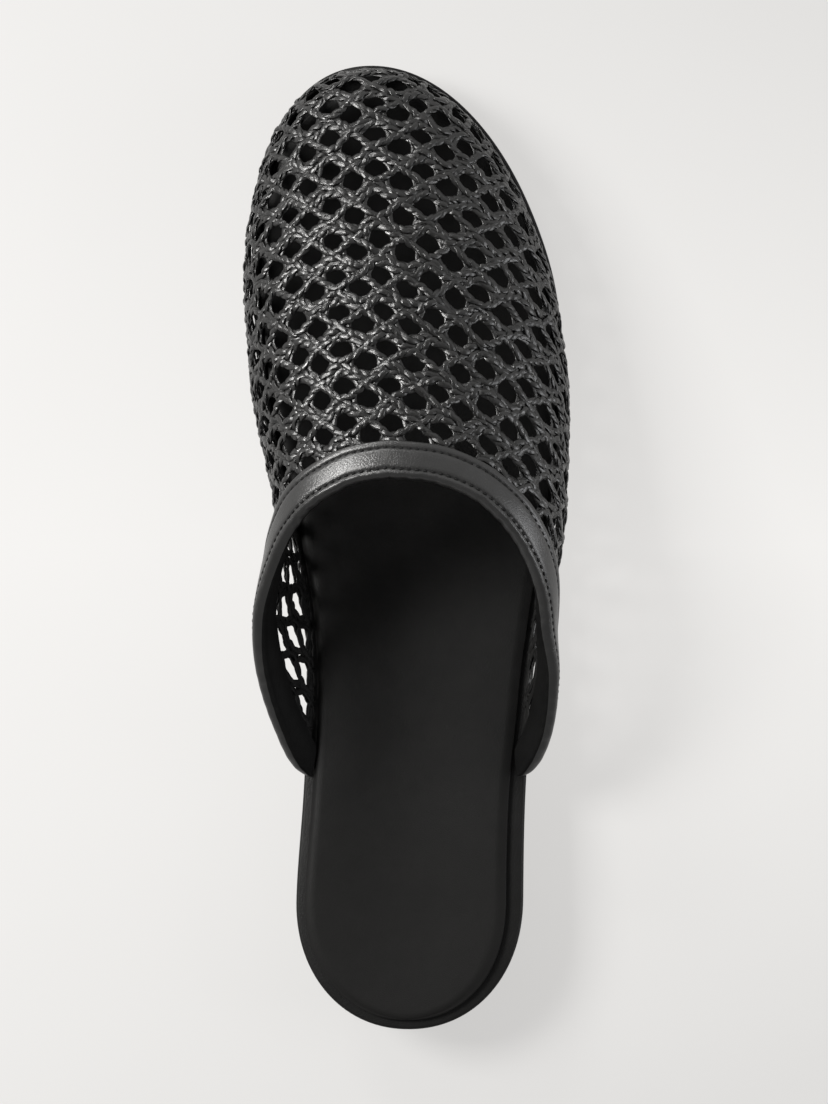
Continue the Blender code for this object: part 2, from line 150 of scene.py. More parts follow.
@dataclass
class SoleShape:
    """Outline, arch, toe spring and edge of the sole, in millimetres."""

    length: float = 256.0
    thickness: float = 5.3
    undercut: float = 1.6
    edge_round: float = 0.9
    gap: float = 0.3
    toe_round_start: float = 60.0
    toe_round_power: float = 2.06
    heel_round_start: float = -93.0
    heel_round_power: float = 2.1
    # Each row holds a station, the centre line's shift, the half width and the top's height.
    rows: Rows = (
        (-128.0, 0.25, 30.7, 19.5),
        (-91.0, 0.85, 30.2, 18.9),
        (-64.0, 1.9, 29.6, 16.8),
        (-40.0, 2.95, 29.8, 13.4),
        (-18.0, 3.25, 31.6, 9.4),
        (5.0, 2.65, 35.6, 6.4),
        (25.0, 1.55, 39.2, 5.3),
        (48.0, -0.15, 41.2, 5.3),
        (70.0, -2.45, 41.2, 5.3),
        (90.0, -5.05, 40.9, 6.2),
        (110.0, -7.85, 41.2, 9.2),
        (128.0, -10.35, 41.8, 13.6),
    )

    def __post_init__(self) -> None:
        """Reads the table's columns as curves over stations."""
        self.centre, self.full_half_width, self.top = columns(self.rows)

    def ends(self, inset: float, toe_inset: float | None = None) -> tuple[float, float]:
        """Returns the stations of the heel's and the toe's ends, pulled in."""
        return inset - self.length / 2, self.length / 2 - (inset if toe_inset is None else toe_inset)

    def half_width(self, y: Any, inset: float, toe_inset: float | None = None) -> Floats:
        """Gives half the sole's width.

        Args:
            y: Station or stations.
            inset: How far the outline is pulled in.
            toe_inset: How far it is pulled in at the toe, where that differs.

        Returns:
            Half the width at each station.
        """
        heel_end, toe_end = self.ends(inset, toe_inset)
        toe = closing(y, self.toe_round_start, toe_end, self.toe_round_power)
        heel = closing(y, self.heel_round_start, heel_end, self.heel_round_power)
        return (self.full_half_width(y) - inset) * toe * heel

    def edge(
        self, share: float, side: float, inset: float, toe_inset: float | None = None
    ) -> tuple[float, float]:
        """Finds a place on the outline, pulled in.

        Args:
            share: Place from heel (-1) to toe (1).
            side: Place across, from -1 (medial edge) to 1.
            inset: How far the outline is pulled in.
            toe_inset: How far it is pulled in at the toe, where that differs.

        Returns:
            The place's x and y.
        """
        heel_end, toe_end = self.ends(inset, toe_inset)
        y = heel_end + (toe_end - heel_end) * (share + 1) / 2
        return float(self.centre(y) + side * self.half_width(y, inset, toe_inset)), float(y)


@dataclass
class UpperShape:
    """Outer face of the upper over its last, in millimetres."""

    sole: SoleShape
    inset: float = 0.6
    wall: float = 2.2
    toe_lift: float = 0.9
    toe_rise_start: float = 80.0
    toe_rise_power: float = 2.0
    side_wall_power: float = 1.7
    side_wall_reach: float = 0.42
    steepest_girth: float = 1.98
    toe_margin: float = 0.2
    probe_y: float = 0.05
    probe_g: float = 0.005
    # Each row holds a station, the medial and the lateral bulge, the bulge's rise, the ridge's shift
    # and the ridge's rise.
    rows: Rows = (
        (-64.0, 5.9, 5.9, 22.0, -0.5, 70.0),
        (-50.0, 9.4, 8.6, 24.0, -0.5, 68.0),
        (-35.0, 11.0, 8.0, 25.5, -0.8, 66.0),
        (-20.0, 9.4, 5.9, 26.0, -1.0, 64.0),
        (0.0, 2.9, 6.0, 24.5, -1.5, 59.5),
        (9.0, 0.8, 5.6, 22.5, -1.7, 57.5),
        (18.0, 0.4, 4.4, 20.0, -2.0, 54.5),
        (40.0, 1.6, 3.0, 15.0, -2.6, 48.5),
        (68.0, 1.4, 1.4, 11.5, -2.6, 41.5),
        (90.0, 0.9, 0.4, 9.0, -2.0, 35.5),
        (110.0, 0.5, 0.0, 7.5, -1.0, 31.0),
        (128.0, 0.0, 0.0, 7.0, 0.0, 28.0),
    )
    # Each row holds a reach from the ridge and the collar edge's stations on the medial and lateral sides.
    # Reach counts girth, and below the bulge, where the wall is shorter, it grows more slowly.
    collar_rows: Rows = (
        (0.0, 19.4, 19.4),
        (0.15, 18.1, 18.4),
        (0.3, 15.0, 15.0),
        (0.45, 10.9, 8.4),
        (0.6, 5.2, -0.6),
        (0.8, -6.1, -13.5),
        (0.9, -13.6, -21.6),
        (1.0, -22.7, -30.3),
        (1.105, -34.1, -39.5),
        (1.21, -45.8, -48.8),
        (1.315, -54.9, -56.2),
        (1.42, -62.0, -62.0),
    )

    def __post_init__(self) -> None:
        """Reads the tables' columns as curves over stations and over reach."""
        self.curves, self.collar_curves = columns(self.rows), columns(self.collar_rows)
        self.toe_end = self.sole.ends(self.inset)[1]

    def collar(self, g: Any) -> Floats:
        """Returns the station of the collar's edge at each girth position."""
        reach = np.clip(np.abs(g), 0, 1) + self.side_wall_reach * np.clip(np.abs(g) - 1, 0, 1)
        return np.where(np.asarray(g) < 0, *(curve(reach) for curve in self.collar_curves))

    def point(self, y: Any, g: Any) -> Floats:
        """Finds points of the outer face.

        Args:
            y: Stations.
            g: Girth positions.

        Returns:
            Points, with x, y and z on the last axis.
        """
        y, g = np.broadcast_arrays(np.asarray(y, float), np.asarray(g, float))
        sole = self.sole
        medial_bulge, lateral_bulge, bulge_rise, ridge_shift, ridge_rise = (at(y) for at in self.curves)
        side = np.where(g < 0, -1.0, 1.0)
        plan = closing(y, sole.toe_round_start, self.toe_end, sole.toe_round_power)
        rise = closing(y, self.toe_rise_start, self.toe_end, self.toe_rise_power)
        feather_x = sole.centre(y) + side * sole.half_width(y, self.inset)
        bulge_x = feather_x + side * np.where(side < 0, medial_bulge, lateral_bulge) * plan
        ridge_x = sole.centre(y) + ridge_shift * plan
        feather_z = sole.top(y) + sole.gap + self.toe_lift * (1 - rise)
        bulge_z = feather_z + bulge_rise * rise
        ridge_z = feather_z + ridge_rise * rise
        over = np.clip(np.abs(g), 0, 1) * math.pi / 2
        under = np.clip(np.abs(g) - 1, 0, 1)
        x = ridge_x + (bulge_x - ridge_x) * np.sin(over)
        x = x + (feather_x - bulge_x) * under**self.side_wall_power
        z = bulge_z + (ridge_z - bulge_z) * np.cos(over) - (bulge_z - feather_z) * under
        return np.stack([x, y, z], axis=-1)

    def slopes(self, y: Any, g: Any) -> tuple[Floats, Floats, Floats]:
        """Finds how the face moves.

        Args:
            y: Stations.
            g: Girth positions.

        Returns:
            Its change with y, its change with g and its outward unit normal.
        """
        g = np.clip(g, -self.steepest_girth, self.steepest_girth)
        y = np.minimum(y, self.toe_end - self.toe_margin)
        dy, dg = self.probe_y, self.probe_g
        along = (self.point(y + dy, g) - self.point(y - dy, g)) / (2 * dy)
        around = (self.point(y, g + dg) - self.point(y, g - dg)) / (2 * dg)
        normal = np.cross(around, along)
        return along, around, normal / np.linalg.norm(normal, axis=-1, keepdims=True)

    def over(self, y: Any, g: Any, height: Floats) -> tuple[Floats, Floats]:
        """Returns points at heights over the face, and the outward normals there."""
        normal = self.slopes(y, g)[2]
        return self.point(y, g) + height[..., None] * normal, normal


@dataclass
class FlatUpper:
    """The upper laid flat: distance u round it from its ridge and run v along its ridge from the collar."""

    shape: UpperShape
    station_count: int = 241
    girth_count: int = 321
    part_count: int = 201
    edge_count: int = 801

    def __post_init__(self) -> None:
        """Measures the upper's face."""
        shape = self.shape
        reach = shape.toe_end - shape.collar_rows[-1][1]
        turn = np.linspace(0, math.pi / 2, self.station_count)
        self.stations = shape.toe_end - reach * (1 - np.sin(turn))
        g = np.linspace(-2, 2, self.girth_count)
        face = shape.point(self.stations[:, None], g[None, :])
        ridge = self.girth_count // 2
        distance = lengths(face.swapaxes(0, 1)).T
        distance = distance - distance[:, [ridge]]
        run = lengths(face[:, ridge])
        self.runs = run - np.interp(shape.collar_rows[0][1], self.stations, run)
        self.reaches = np.stack([-distance[:, 0], distance[:, -1]], axis=1)
        parts = np.linspace(-1, 1, self.part_count)
        widths = np.where(parts[None, :] < 0, self.reaches[:, :1], self.reaches[:, 1:])
        self.girths = np.stack([np.interp(parts * w, d, g) for w, d in zip(widths, distance)])
        edge_g = np.linspace(-2, 2, self.edge_count)
        edge_y = shape.collar(edge_g)
        rows = np.clip(np.searchsorted(self.stations, edge_y), 0, len(self.stations) - 1)
        edge_u = np.array([np.interp(at, g, distance[row]) for at, row in zip(edge_g, rows)])
        self.collar_edge = np.stack([edge_u, self.run(edge_y)], axis=1)

    def run(self, y: Any) -> Floats:
        """Returns the run along the ridge at each station."""
        return np.interp(y, self.stations, self.runs)

    def station(self, v: Any) -> Floats:
        """Returns the station that lies this far along the ridge."""
        return np.interp(v, self.runs, self.stations)

    def reach(self, u: Any, v: Any) -> Floats:
        """Returns how far each flat place lies inside the nearer feather line."""
        medial, lateral = (np.interp(self.station(v), self.stations, side) for side in self.reaches.T)
        return np.where(np.asarray(u) < 0, medial + u, lateral - u)

    def girth(self, u: Any, y: Any) -> Floats:
        """Finds girth positions.

        Args:
            u: Distances from the ridge.
            y: Stations.

        Returns:
            The girth position of each place.
        """
        u, y = np.broadcast_arrays(np.asarray(u, float), np.asarray(y, float))
        i = np.clip(np.searchsorted(self.stations, y) - 1, 0, len(self.stations) - 2)
        t = np.clip((y - self.stations[i]) / (self.stations[i + 1] - self.stations[i]), 0, 1)
        side = np.where(u < 0, 0, 1)
        width = (1 - t) * self.reaches[i, side] + t * self.reaches[i + 1, side]
        half = self.part_count // 2
        place = np.clip(u / np.maximum(width, 1e-6), -1, 1) * half + half
        j = np.clip(place.astype(int), 0, self.part_count - 2)
        s = place - j
        near, far = ((1 - s) * self.girths[k, j] + s * self.girths[k, j + 1] for k in (i, i + 1))
        return (1 - t) * near + t * far

    def depth(self, u: Any, v: Any) -> Floats:
        """Finds how far flat places lie in front of the collar's edge.

        Args:
            u: Distances from the ridge.
            v: Runs along the ridge.

        Returns:
            The distance from the edge, negative behind it.
        """
        places = np.stack(np.broadcast_arrays(u, v), axis=-1)
        away = np.linalg.norm(places[:, None, :] - self.collar_edge[None, :, :], axis=-1).min(axis=1)
        y = self.station(v)
        return np.where(y > self.shape.collar(self.girth(u, y)), away, -away)

    def over(self, u: Any, v: Any, height: Floats) -> tuple[Floats, Floats]:
        """Returns points at heights over flat places of the face, and the outward normals there."""
        y = self.station(v)
        return self.shape.over(y, self.girth(u, y), height)


class NodePen:
    """Writes nodes and links into one node tree."""

    def __init__(self, tree: Tree) -> None:
        """Takes the tree to write into."""
        self.tree = tree

    @staticmethod
    def start(
        name: str, kind: TreeKind, inputs: dict[str, Sequence[str]], outputs: dict[str, Sequence[str]]
    ) -> tuple["NodePen", Any]:
        """Makes a node tree with named sockets.

        Args:
            name: The tree's name.
            kind: The tree's type.
            inputs: Names of the inputs of each socket type.
            outputs: Names of the outputs of each socket type.

        Returns:
            A pen on the tree, and the tree's inputs by name.
        """
        pen = NodePen(bpy.data.node_groups.new(name, kind.value))
        for direction, sockets in (("INPUT", inputs), ("OUTPUT", outputs)):
            for sort, labels in sockets.items():
                for label in labels:
                    pen.tree.interface.new_socket(label, in_out=direction, socket_type="NodeSocket" + sort)
        return pen, pen.node("NodeGroupInput").outputs

    def finish(self, **results: Socket) -> Tree:
        """Feeds the tree's outputs and returns the tree."""
        self.node("NodeGroupOutput", results)
        return self.tree

    def node(self, kind: str, feeds: dict[Any, Any] | None = None, **settings: Any) -> Node:
        """Adds a node.

        Args:
            kind: The node's type.
            feeds: Socket or constant for each input, by the input's name or number.
            **settings: Values of the node's own properties.

        Returns:
            The node.
        """
        made = self.tree.nodes.new(kind)
        for name, value in settings.items():
            setattr(made, name, value)
        for key, value in (feeds or {}).items():
            self.feed(made, key, value)
        return made

    def feed(self, node: Node, key: str | int, value: Any) -> None:
        """Links a socket, or sets a constant, on one input of a node.

        Args:
            node: The node.
            key: The input's name or number.
            value: The socket or the constant.
        """
        if isinstance(value, Socket):
            self.tree.links.new(value, node.inputs[key])
        else:
            node.inputs[key].default_value = value

    def out(self, kind: str, feeds: dict[Any, Any] | None = None, **settings: Any) -> Socket:
        """Adds a node and returns its first output."""
        return self.node(kind, feeds, **settings).outputs[0]

    def math(self, operation: str, a: Any, b: Any = 0.0) -> Socket:
        """Returns the result of a Math node on two values."""
        return self.out("ShaderNodeMath", {0: a, 1: b}, operation=operation)

    def vector(self, operation: str, a: Any, b: Any = (0.0, 0.0, 0.0)) -> Socket:
        """Returns the result of a Vector Math node on two vectors."""
        return self.out("ShaderNodeVectorMath", {0: a, 1: b}, operation=operation)

    def scaled(self, a: Any, factor: Any) -> Socket:
        """Returns a vector times a number."""
        return self.out("ShaderNodeVectorMath", {"Vector": a, "Scale": factor}, operation="SCALE")

    def axis(self, place: Socket, label: str) -> Socket:
        """Returns one coordinate of a place."""
        return self.node("ShaderNodeSeparateXYZ", {0: place}).outputs[label]

    def ramp(self, value: Any, low: Any, high: Any, out_low: Any = 0.0, out_high: Any = 1.0) -> Socket:
        """Returns a value moved from one range to another and kept inside it."""
        return self.out("ShaderNodeMapRange", {0: value, 1: low, 2: high, 3: out_low, 4: out_high})

    def blend(self, factor: Any, dark: Any, light: Any) -> Socket:
        """Returns a colour between two colours."""
        return self.node("ShaderNodeMix", {0: factor, 6: dark, 7: light}, data_type="RGBA").outputs[2]

    def noise(self, place: Socket, scale: Any, detail: float) -> Node:
        """Adds a noise texture."""
        return self.node("ShaderNodeTexNoise", {"Vector": place, "Scale": scale, "Detail": detail})

    def attribute(self, name: str, data_type: str = "FLOAT") -> Socket:
        """Returns a named attribute's field in a geometry tree."""
        made = self.node("GeometryNodeInputNamedAttribute", {"Name": name}, data_type=data_type)
        return next(socket for socket in made.outputs if socket.enabled and socket.name == "Attribute")

    def even_path(self, guide: Socket, step: Socket) -> Socket:
        """Returns guide edges as curves with points at even steps."""
        path = self.out("GeometryNodeMeshToCurve", {"Mesh": guide})
        return self.out("GeometryNodeResampleCurve", {"Curve": path, "Length": step}, mode="LENGTH")

    def capture(self, geometry: Socket, domain: str, **fields: Socket) -> Any:
        """Keeps the values that fields have on a geometry.

        Args:
            geometry: The geometry.
            domain: Where on it the fields are read.
            **fields: The fields, by name.

        Returns:
            The node's outputs: the geometry and each field by its name.
        """
        made = self.node("GeometryNodeCaptureAttribute", {"Geometry": geometry}, domain=domain)
        for name, value in fields.items():
            made.capture_items.new("VECTOR" if value.type == "VECTOR" else "FLOAT", name)
            self.feed(made, name, value)
        return made.outputs


def leather_grain() -> Tree:
    """Builds fine leather grain: rounded pebbles with creases between them.

    Returns:
        The group, which puts out the grain's height.
    """
    inputs = {"Vector": ["Vector"], "Float": ["Scale", "Crease"]}
    pen, given = NodePen.start("leather_grain", TreeKind.SHADER, inputs, {"Float": ["Height"]})
    place = given["Vector"]
    shift = pen.scaled(pen.noise(place, 260.0, 3.0).outputs["Color"], 0.0012)
    feeds = {"Vector": pen.vector("ADD", place, shift), "Scale": given["Scale"]}
    cells = pen.node("ShaderNodeTexVoronoi", feeds, feature="DISTANCE_TO_EDGE")
    pebble = pen.ramp(cells.outputs["Distance"], 0.0, given["Crease"])
    fine = pen.math("MULTIPLY", pen.noise(place, 2400.0, 2.0).outputs[0], 0.6)
    return pen.finish(Height=pen.math("ADD", pebble, fine))


def soft_mottle() -> Tree:
    """Builds slow uneven patches, as of polish and handling.

    Returns:
        The group, which puts out a value between Low and High.
    """
    inputs = {"Vector": ["Vector"], "Float": ["Scale", "Low", "High"]}
    pen, given = NodePen.start("soft_mottle", TreeKind.SHADER, inputs, {"Float": ["Value"]})
    patches = pen.noise(given["Vector"], given["Scale"], 5.0)
    pen.feed(patches, "Roughness", 0.6)
    return pen.finish(Value=pen.ramp(patches.outputs[0], 0.3, 0.7, given["Low"], given["High"]))


def fibre_streaks() -> Tree:
    """Builds fibre streaks that run along a strand.

    Returns:
        The group, which puts out the streaks' height and a mask of their shiny ridges.
    """
    inputs = {"Float": ["Along", "Across", "Tone", "Fineness"]}
    pen, given = NodePen.start("fibre_streaks", TreeKind.SHADER, inputs, {"Float": ["Height", "Ridge"]})
    paces = (("Along", 950.0), ("Across", given["Fineness"]), ("Tone", 61.0))
    feeds = {i: pen.math("MULTIPLY", given[label], pace) for i, (label, pace) in enumerate(paces)}
    height = pen.noise(pen.out("ShaderNodeCombineXYZ", feeds), 1.0, 3.0).outputs[0]
    return pen.finish(Height=height, Ridge=pen.ramp(height, 0.5, 0.68))


@dataclass(frozen=True)
class Effects:
    """Shader node groups that several finishes share, each built once."""

    grain: Tree = field(default_factory=leather_grain)
    mottle: Tree = field(default_factory=soft_mottle)
    fibres: Tree = field(default_factory=fibre_streaks)


class FinishPen(NodePen):
    """Writes the nodes of one Principled material that reads Object coordinates."""

    def __init__(self, name: str, effects: Effects) -> None:
        """Starts the material.

        Args:
            name: The material's name.
            effects: The shared node groups.
        """
        self.material = bpy.data.materials.new(name)
        self.material.use_nodes = True
        super().__init__(self.material.node_tree)
        self.effects = effects
        self.place = self.node("ShaderNodeTexCoord").outputs["Object"]

    def mottle(self, scale: float, low: float = 0.0, high: float = 1.0) -> Socket:
        """Returns slow uneven patches between two values."""
        feeds = {"Vector": self.place, "Scale": scale, "Low": low, "High": high}
        return self.out("ShaderNodeGroup", feeds, node_tree=self.effects.mottle)

    def relief(self, strength: float, distance: float, height: Socket) -> Socket:
        """Returns the normal of a raised pattern."""
        return self.out("ShaderNodeBump", {"Strength": strength, "Distance": distance, "Height": height})

    def dress(self, looks: dict[str, Any]) -> Material:
        """Feeds the shader's inputs.

        Args:
            looks: Socket or constant for each input, by the input's name.

        Returns:
            The material.
        """
        for key, value in looks.items():
            self.feed(self.tree.nodes["Principled BSDF"], key, value)
        return self.material


def grey(level: float, warmth: float = 0.0) -> Colour:
    """Returns a near neutral colour, warmer as warmth rises."""
    return (level * (1 + warmth), level, level * (1 - warmth), 1.0)


@dataclass(frozen=True)
class RaffiaFinish:
    """Glossy black raffia: flat plant fibre with streaks along each ply."""

    name: str = "black_raffia"
    dark: float = 0.002
    light: float = 0.007
    dull: float = 0.36
    shiny: float = 0.12
    specular: float = 0.44
    fineness: float = 1.25
    relief: float = 0.6
    relief_depth: float = 0.00028

    def material(self, effects: Effects) -> Material:
        """Builds the material.

        Args:
            effects: The shared node groups.

        Returns:
            The material, which reads the plies' along, across and tone attributes.
        """
        pen = FinishPen(self.name, effects)
        feeds: dict[str, Any] = {
            label.title(): pen.node("ShaderNodeAttribute", attribute_name=label).outputs["Fac"]
            for label in ("along", "across", "tone")
        }
        tone = feeds["Tone"]
        feeds["Fineness"] = self.fineness
        fibres = pen.node("ShaderNodeGroup", feeds, node_tree=effects.fibres).outputs
        share = pen.math("MULTIPLY", pen.math("ADD", pen.mottle(160.0), tone), 0.5)
        ridge = pen.math("MULTIPLY", fibres["Ridge"], 0.75)
        gloss = pen.math("ADD", ridge, pen.math("MULTIPLY", tone, 0.25))
        looks = {
            "Base Color": pen.blend(share, grey(self.dark), grey(self.light, 0.03)),
            "Roughness": pen.ramp(gloss, 0.0, 1.0, self.dull, self.shiny),
            "Normal": pen.relief(self.relief, self.relief_depth, fibres["Height"]),
            "Specular IOR Level": self.specular,
        }
        return pen.dress(looks)


@dataclass(frozen=True)
class LeatherFinish:
    """Black leather with a fine grain, uneven polish and a soft gloss, and painted light paling the heel."""

    name: str
    dark: float
    light: float
    dull: float
    shiny: float
    grain_scale: float
    relief: float
    specular: float
    # The next four set painted light: a paler tone blended in towards the heel, where more light falls.
    painted_heel_light: float = 0.0
    painted_heel_light_from: float = -0.045
    painted_heel_light_to: float = -0.1
    painted_heel_light_share: float = 0.75
    crease: float = 0.16
    relief_depth: float = 0.0001

    def material(self, effects: Effects) -> Material:
        """Builds the material.

        Args:
            effects: The shared node groups.

        Returns:
            The material.
        """
        pen = FinishPen(self.name, effects)
        colour = pen.blend(pen.mottle(55.0), grey(self.dark), grey(self.light, 0.02))
        # Painted light: the colour turns paler towards the heel, as where more light falls on it.
        if self.painted_heel_light:
            station = pen.axis(pen.place, "Y")
            share = pen.ramp(station, self.painted_heel_light_from, self.painted_heel_light_to, 0.0, self.painted_heel_light_share)
            colour = pen.blend(share, colour, grey(self.painted_heel_light, 0.02))
        feeds = {"Vector": pen.place, "Scale": self.grain_scale, "Crease": self.crease}
        grain = pen.out("ShaderNodeGroup", feeds, node_tree=effects.grain)
        looks = {
            "Base Color": colour,
            "Roughness": pen.mottle(190.0, self.dull, self.shiny),
            "Normal": pen.relief(self.relief, self.relief_depth, grain),
            "Specular IOR Level": self.specular,
        }
        return pen.dress(looks)


@dataclass(frozen=True)
class ThreadFinish:
    """Dull black sewing thread."""

    dark: float = 0.001
    light: float = 0.004
    dull: float = 0.75
    shiny: float = 0.6
    specular: float = 0.15

    def material(self, effects: Effects) -> Material:
        """Builds the material.

        Args:
            effects: The shared node groups.

        Returns:
            The material.
        """
        pen = FinishPen("black_thread", effects)
        patches = pen.mottle(900.0)
        looks = {
            "Base Color": pen.blend(patches, grey(self.dark), grey(self.light)),
            "Roughness": pen.ramp(patches, 0.0, 1.0, self.dull, self.shiny),
            "Specular IOR Level": self.specular,
        }
        return pen.dress(looks)


@dataclass(frozen=True)
class FloorFinish:
    """Plain pale studio floor that glows a little, less towards its far ends, so that shadows stay light."""

    dark: Colour = (0.111, 0.1105, 0.11, 1.0)
    light: Colour = (0.119, 0.1185, 0.118, 1.0)
    roughness: float = 0.9
    specular: float = 0.1
    glow: Colour = (0.985, 0.97, 0.95, 1.0)
    faded_glow: Colour = (0.77, 0.76, 0.746, 1.0)
    glow_strength: float = 0.66
    fade: float = 5.4
    fade_slant: float = 15.0

    def material(self, effects: Effects) -> Material:
        """Builds the material.

        Args:
            effects: The shared node groups.

        Returns:
            The material.
        """
        pen = FinishPen("pale_floor", effects)
        slant = pen.math("MULTIPLY", pen.axis(pen.place, "X"), self.fade_slant)
        pace = pen.math("ADD", slant, self.fade)
        away = pen.math("MULTIPLY", pen.math("ABSOLUTE", pen.axis(pen.place, "Y")), pace)
        looks = {
            "Base Color": pen.blend(pen.mottle(3.0), self.dark, self.light),
            "Roughness": self.roughness,
            "Specular IOR Level": self.specular,
            "Emission Color": pen.blend(pen.ramp(away, 0.0, 1.0), self.glow, self.faded_glow),
            "Emission Strength": self.glow_strength,
        }
        return pen.dress(looks)


@dataclass(frozen=True)
class Guide:
    """A path that Geometry Nodes follow, in metres.

    Attributes:
        points: Places along the path.
        outward: Directions away from the shoe's face along it.
        phase: Angle at which the plies start.
        twist: Which way they turn.
        bulk: How full the plies are along it, where 1 is their full size.
    """

    points: Floats
    outward: Floats
    phase: float = 0.0
    twist: Twist = Twist.RIGHT
    bulk: Floats | float = 1.0


def add(name: str, data: Any) -> Piece:
    """Adds an object to the scene.

    Args:
        name: The object's name.
        data: Its mesh, light or camera.

    Returns:
        The object.
    """
    made = bpy.data.objects.new(name, data)
    bpy.context.scene.collection.objects.link(made)
    return made


def guide_mesh(name: str, guides: Sequence[Guide]) -> bpy.types.Mesh:
    """Joins paths into one mesh of loose edges.

    Args:
        name: The mesh's name.
        guides: The paths.

    Returns:
        The mesh, with outward, phase, twist and bulk attributes on its points.
    """
    counts = [len(guide.points) for guide in guides]
    starts = np.concatenate([[0], np.cumsum(counts)])
    edges = [(int(s + i), int(s + i + 1)) for s, n in zip(starts, counts) for i in range(n - 1)]
    mesh = bpy.data.meshes.new(name)
    mesh.from_pydata(np.concatenate([guide.points for guide in guides]).tolist(), edges, [])
    outward = mesh.attributes.new("outward", "FLOAT_VECTOR", "POINT")
    outward.data.foreach_set("vector", np.concatenate([guide.outward for guide in guides]).ravel())
    marks = [(guide.phase, guide.twist.value, guide.bulk) for guide in guides]
    for label, values in zip(("phase", "twist", "bulk"), zip(*marks)):
        layer = mesh.attributes.new(label, "FLOAT", "POINT")
        spread = [np.broadcast_to(value, count) for value, count in zip(values, counts)]
        layer.data.foreach_set("value", np.concatenate(spread).astype(float))
    return mesh


def grow(name: str, guides: Sequence[Guide], tree: Tree, sizes: dict[str, Any]) -> Piece:
    """Runs a geometry tree on paths and keeps the result as a plain mesh.

    Args:
        name: The piece's name.
        guides: The paths.
        tree: The geometry tree.
        sizes: Value of each named input.

    Returns:
        The piece.
    """
    piece = add(name, guide_mesh(name, guides))
    modifier = piece.modifiers.new("growth", "NODES")
    modifier.node_group = tree
    for item in tree.interface.items_tree:
        if item.item_type == "SOCKET" and item.in_out == "INPUT" and item.name in sizes:
            modifier[item.identifier] = sizes[item.name]
    graph = bpy.context.evaluated_depsgraph_get()
    grown = piece.evaluated_get(graph)
    made = bpy.data.meshes.new_from_object(grown, preserve_all_data_layers=True, depsgraph=graph)
    piece.modifiers.remove(modifier)
    piece.data = made
    made.name = name
    return piece


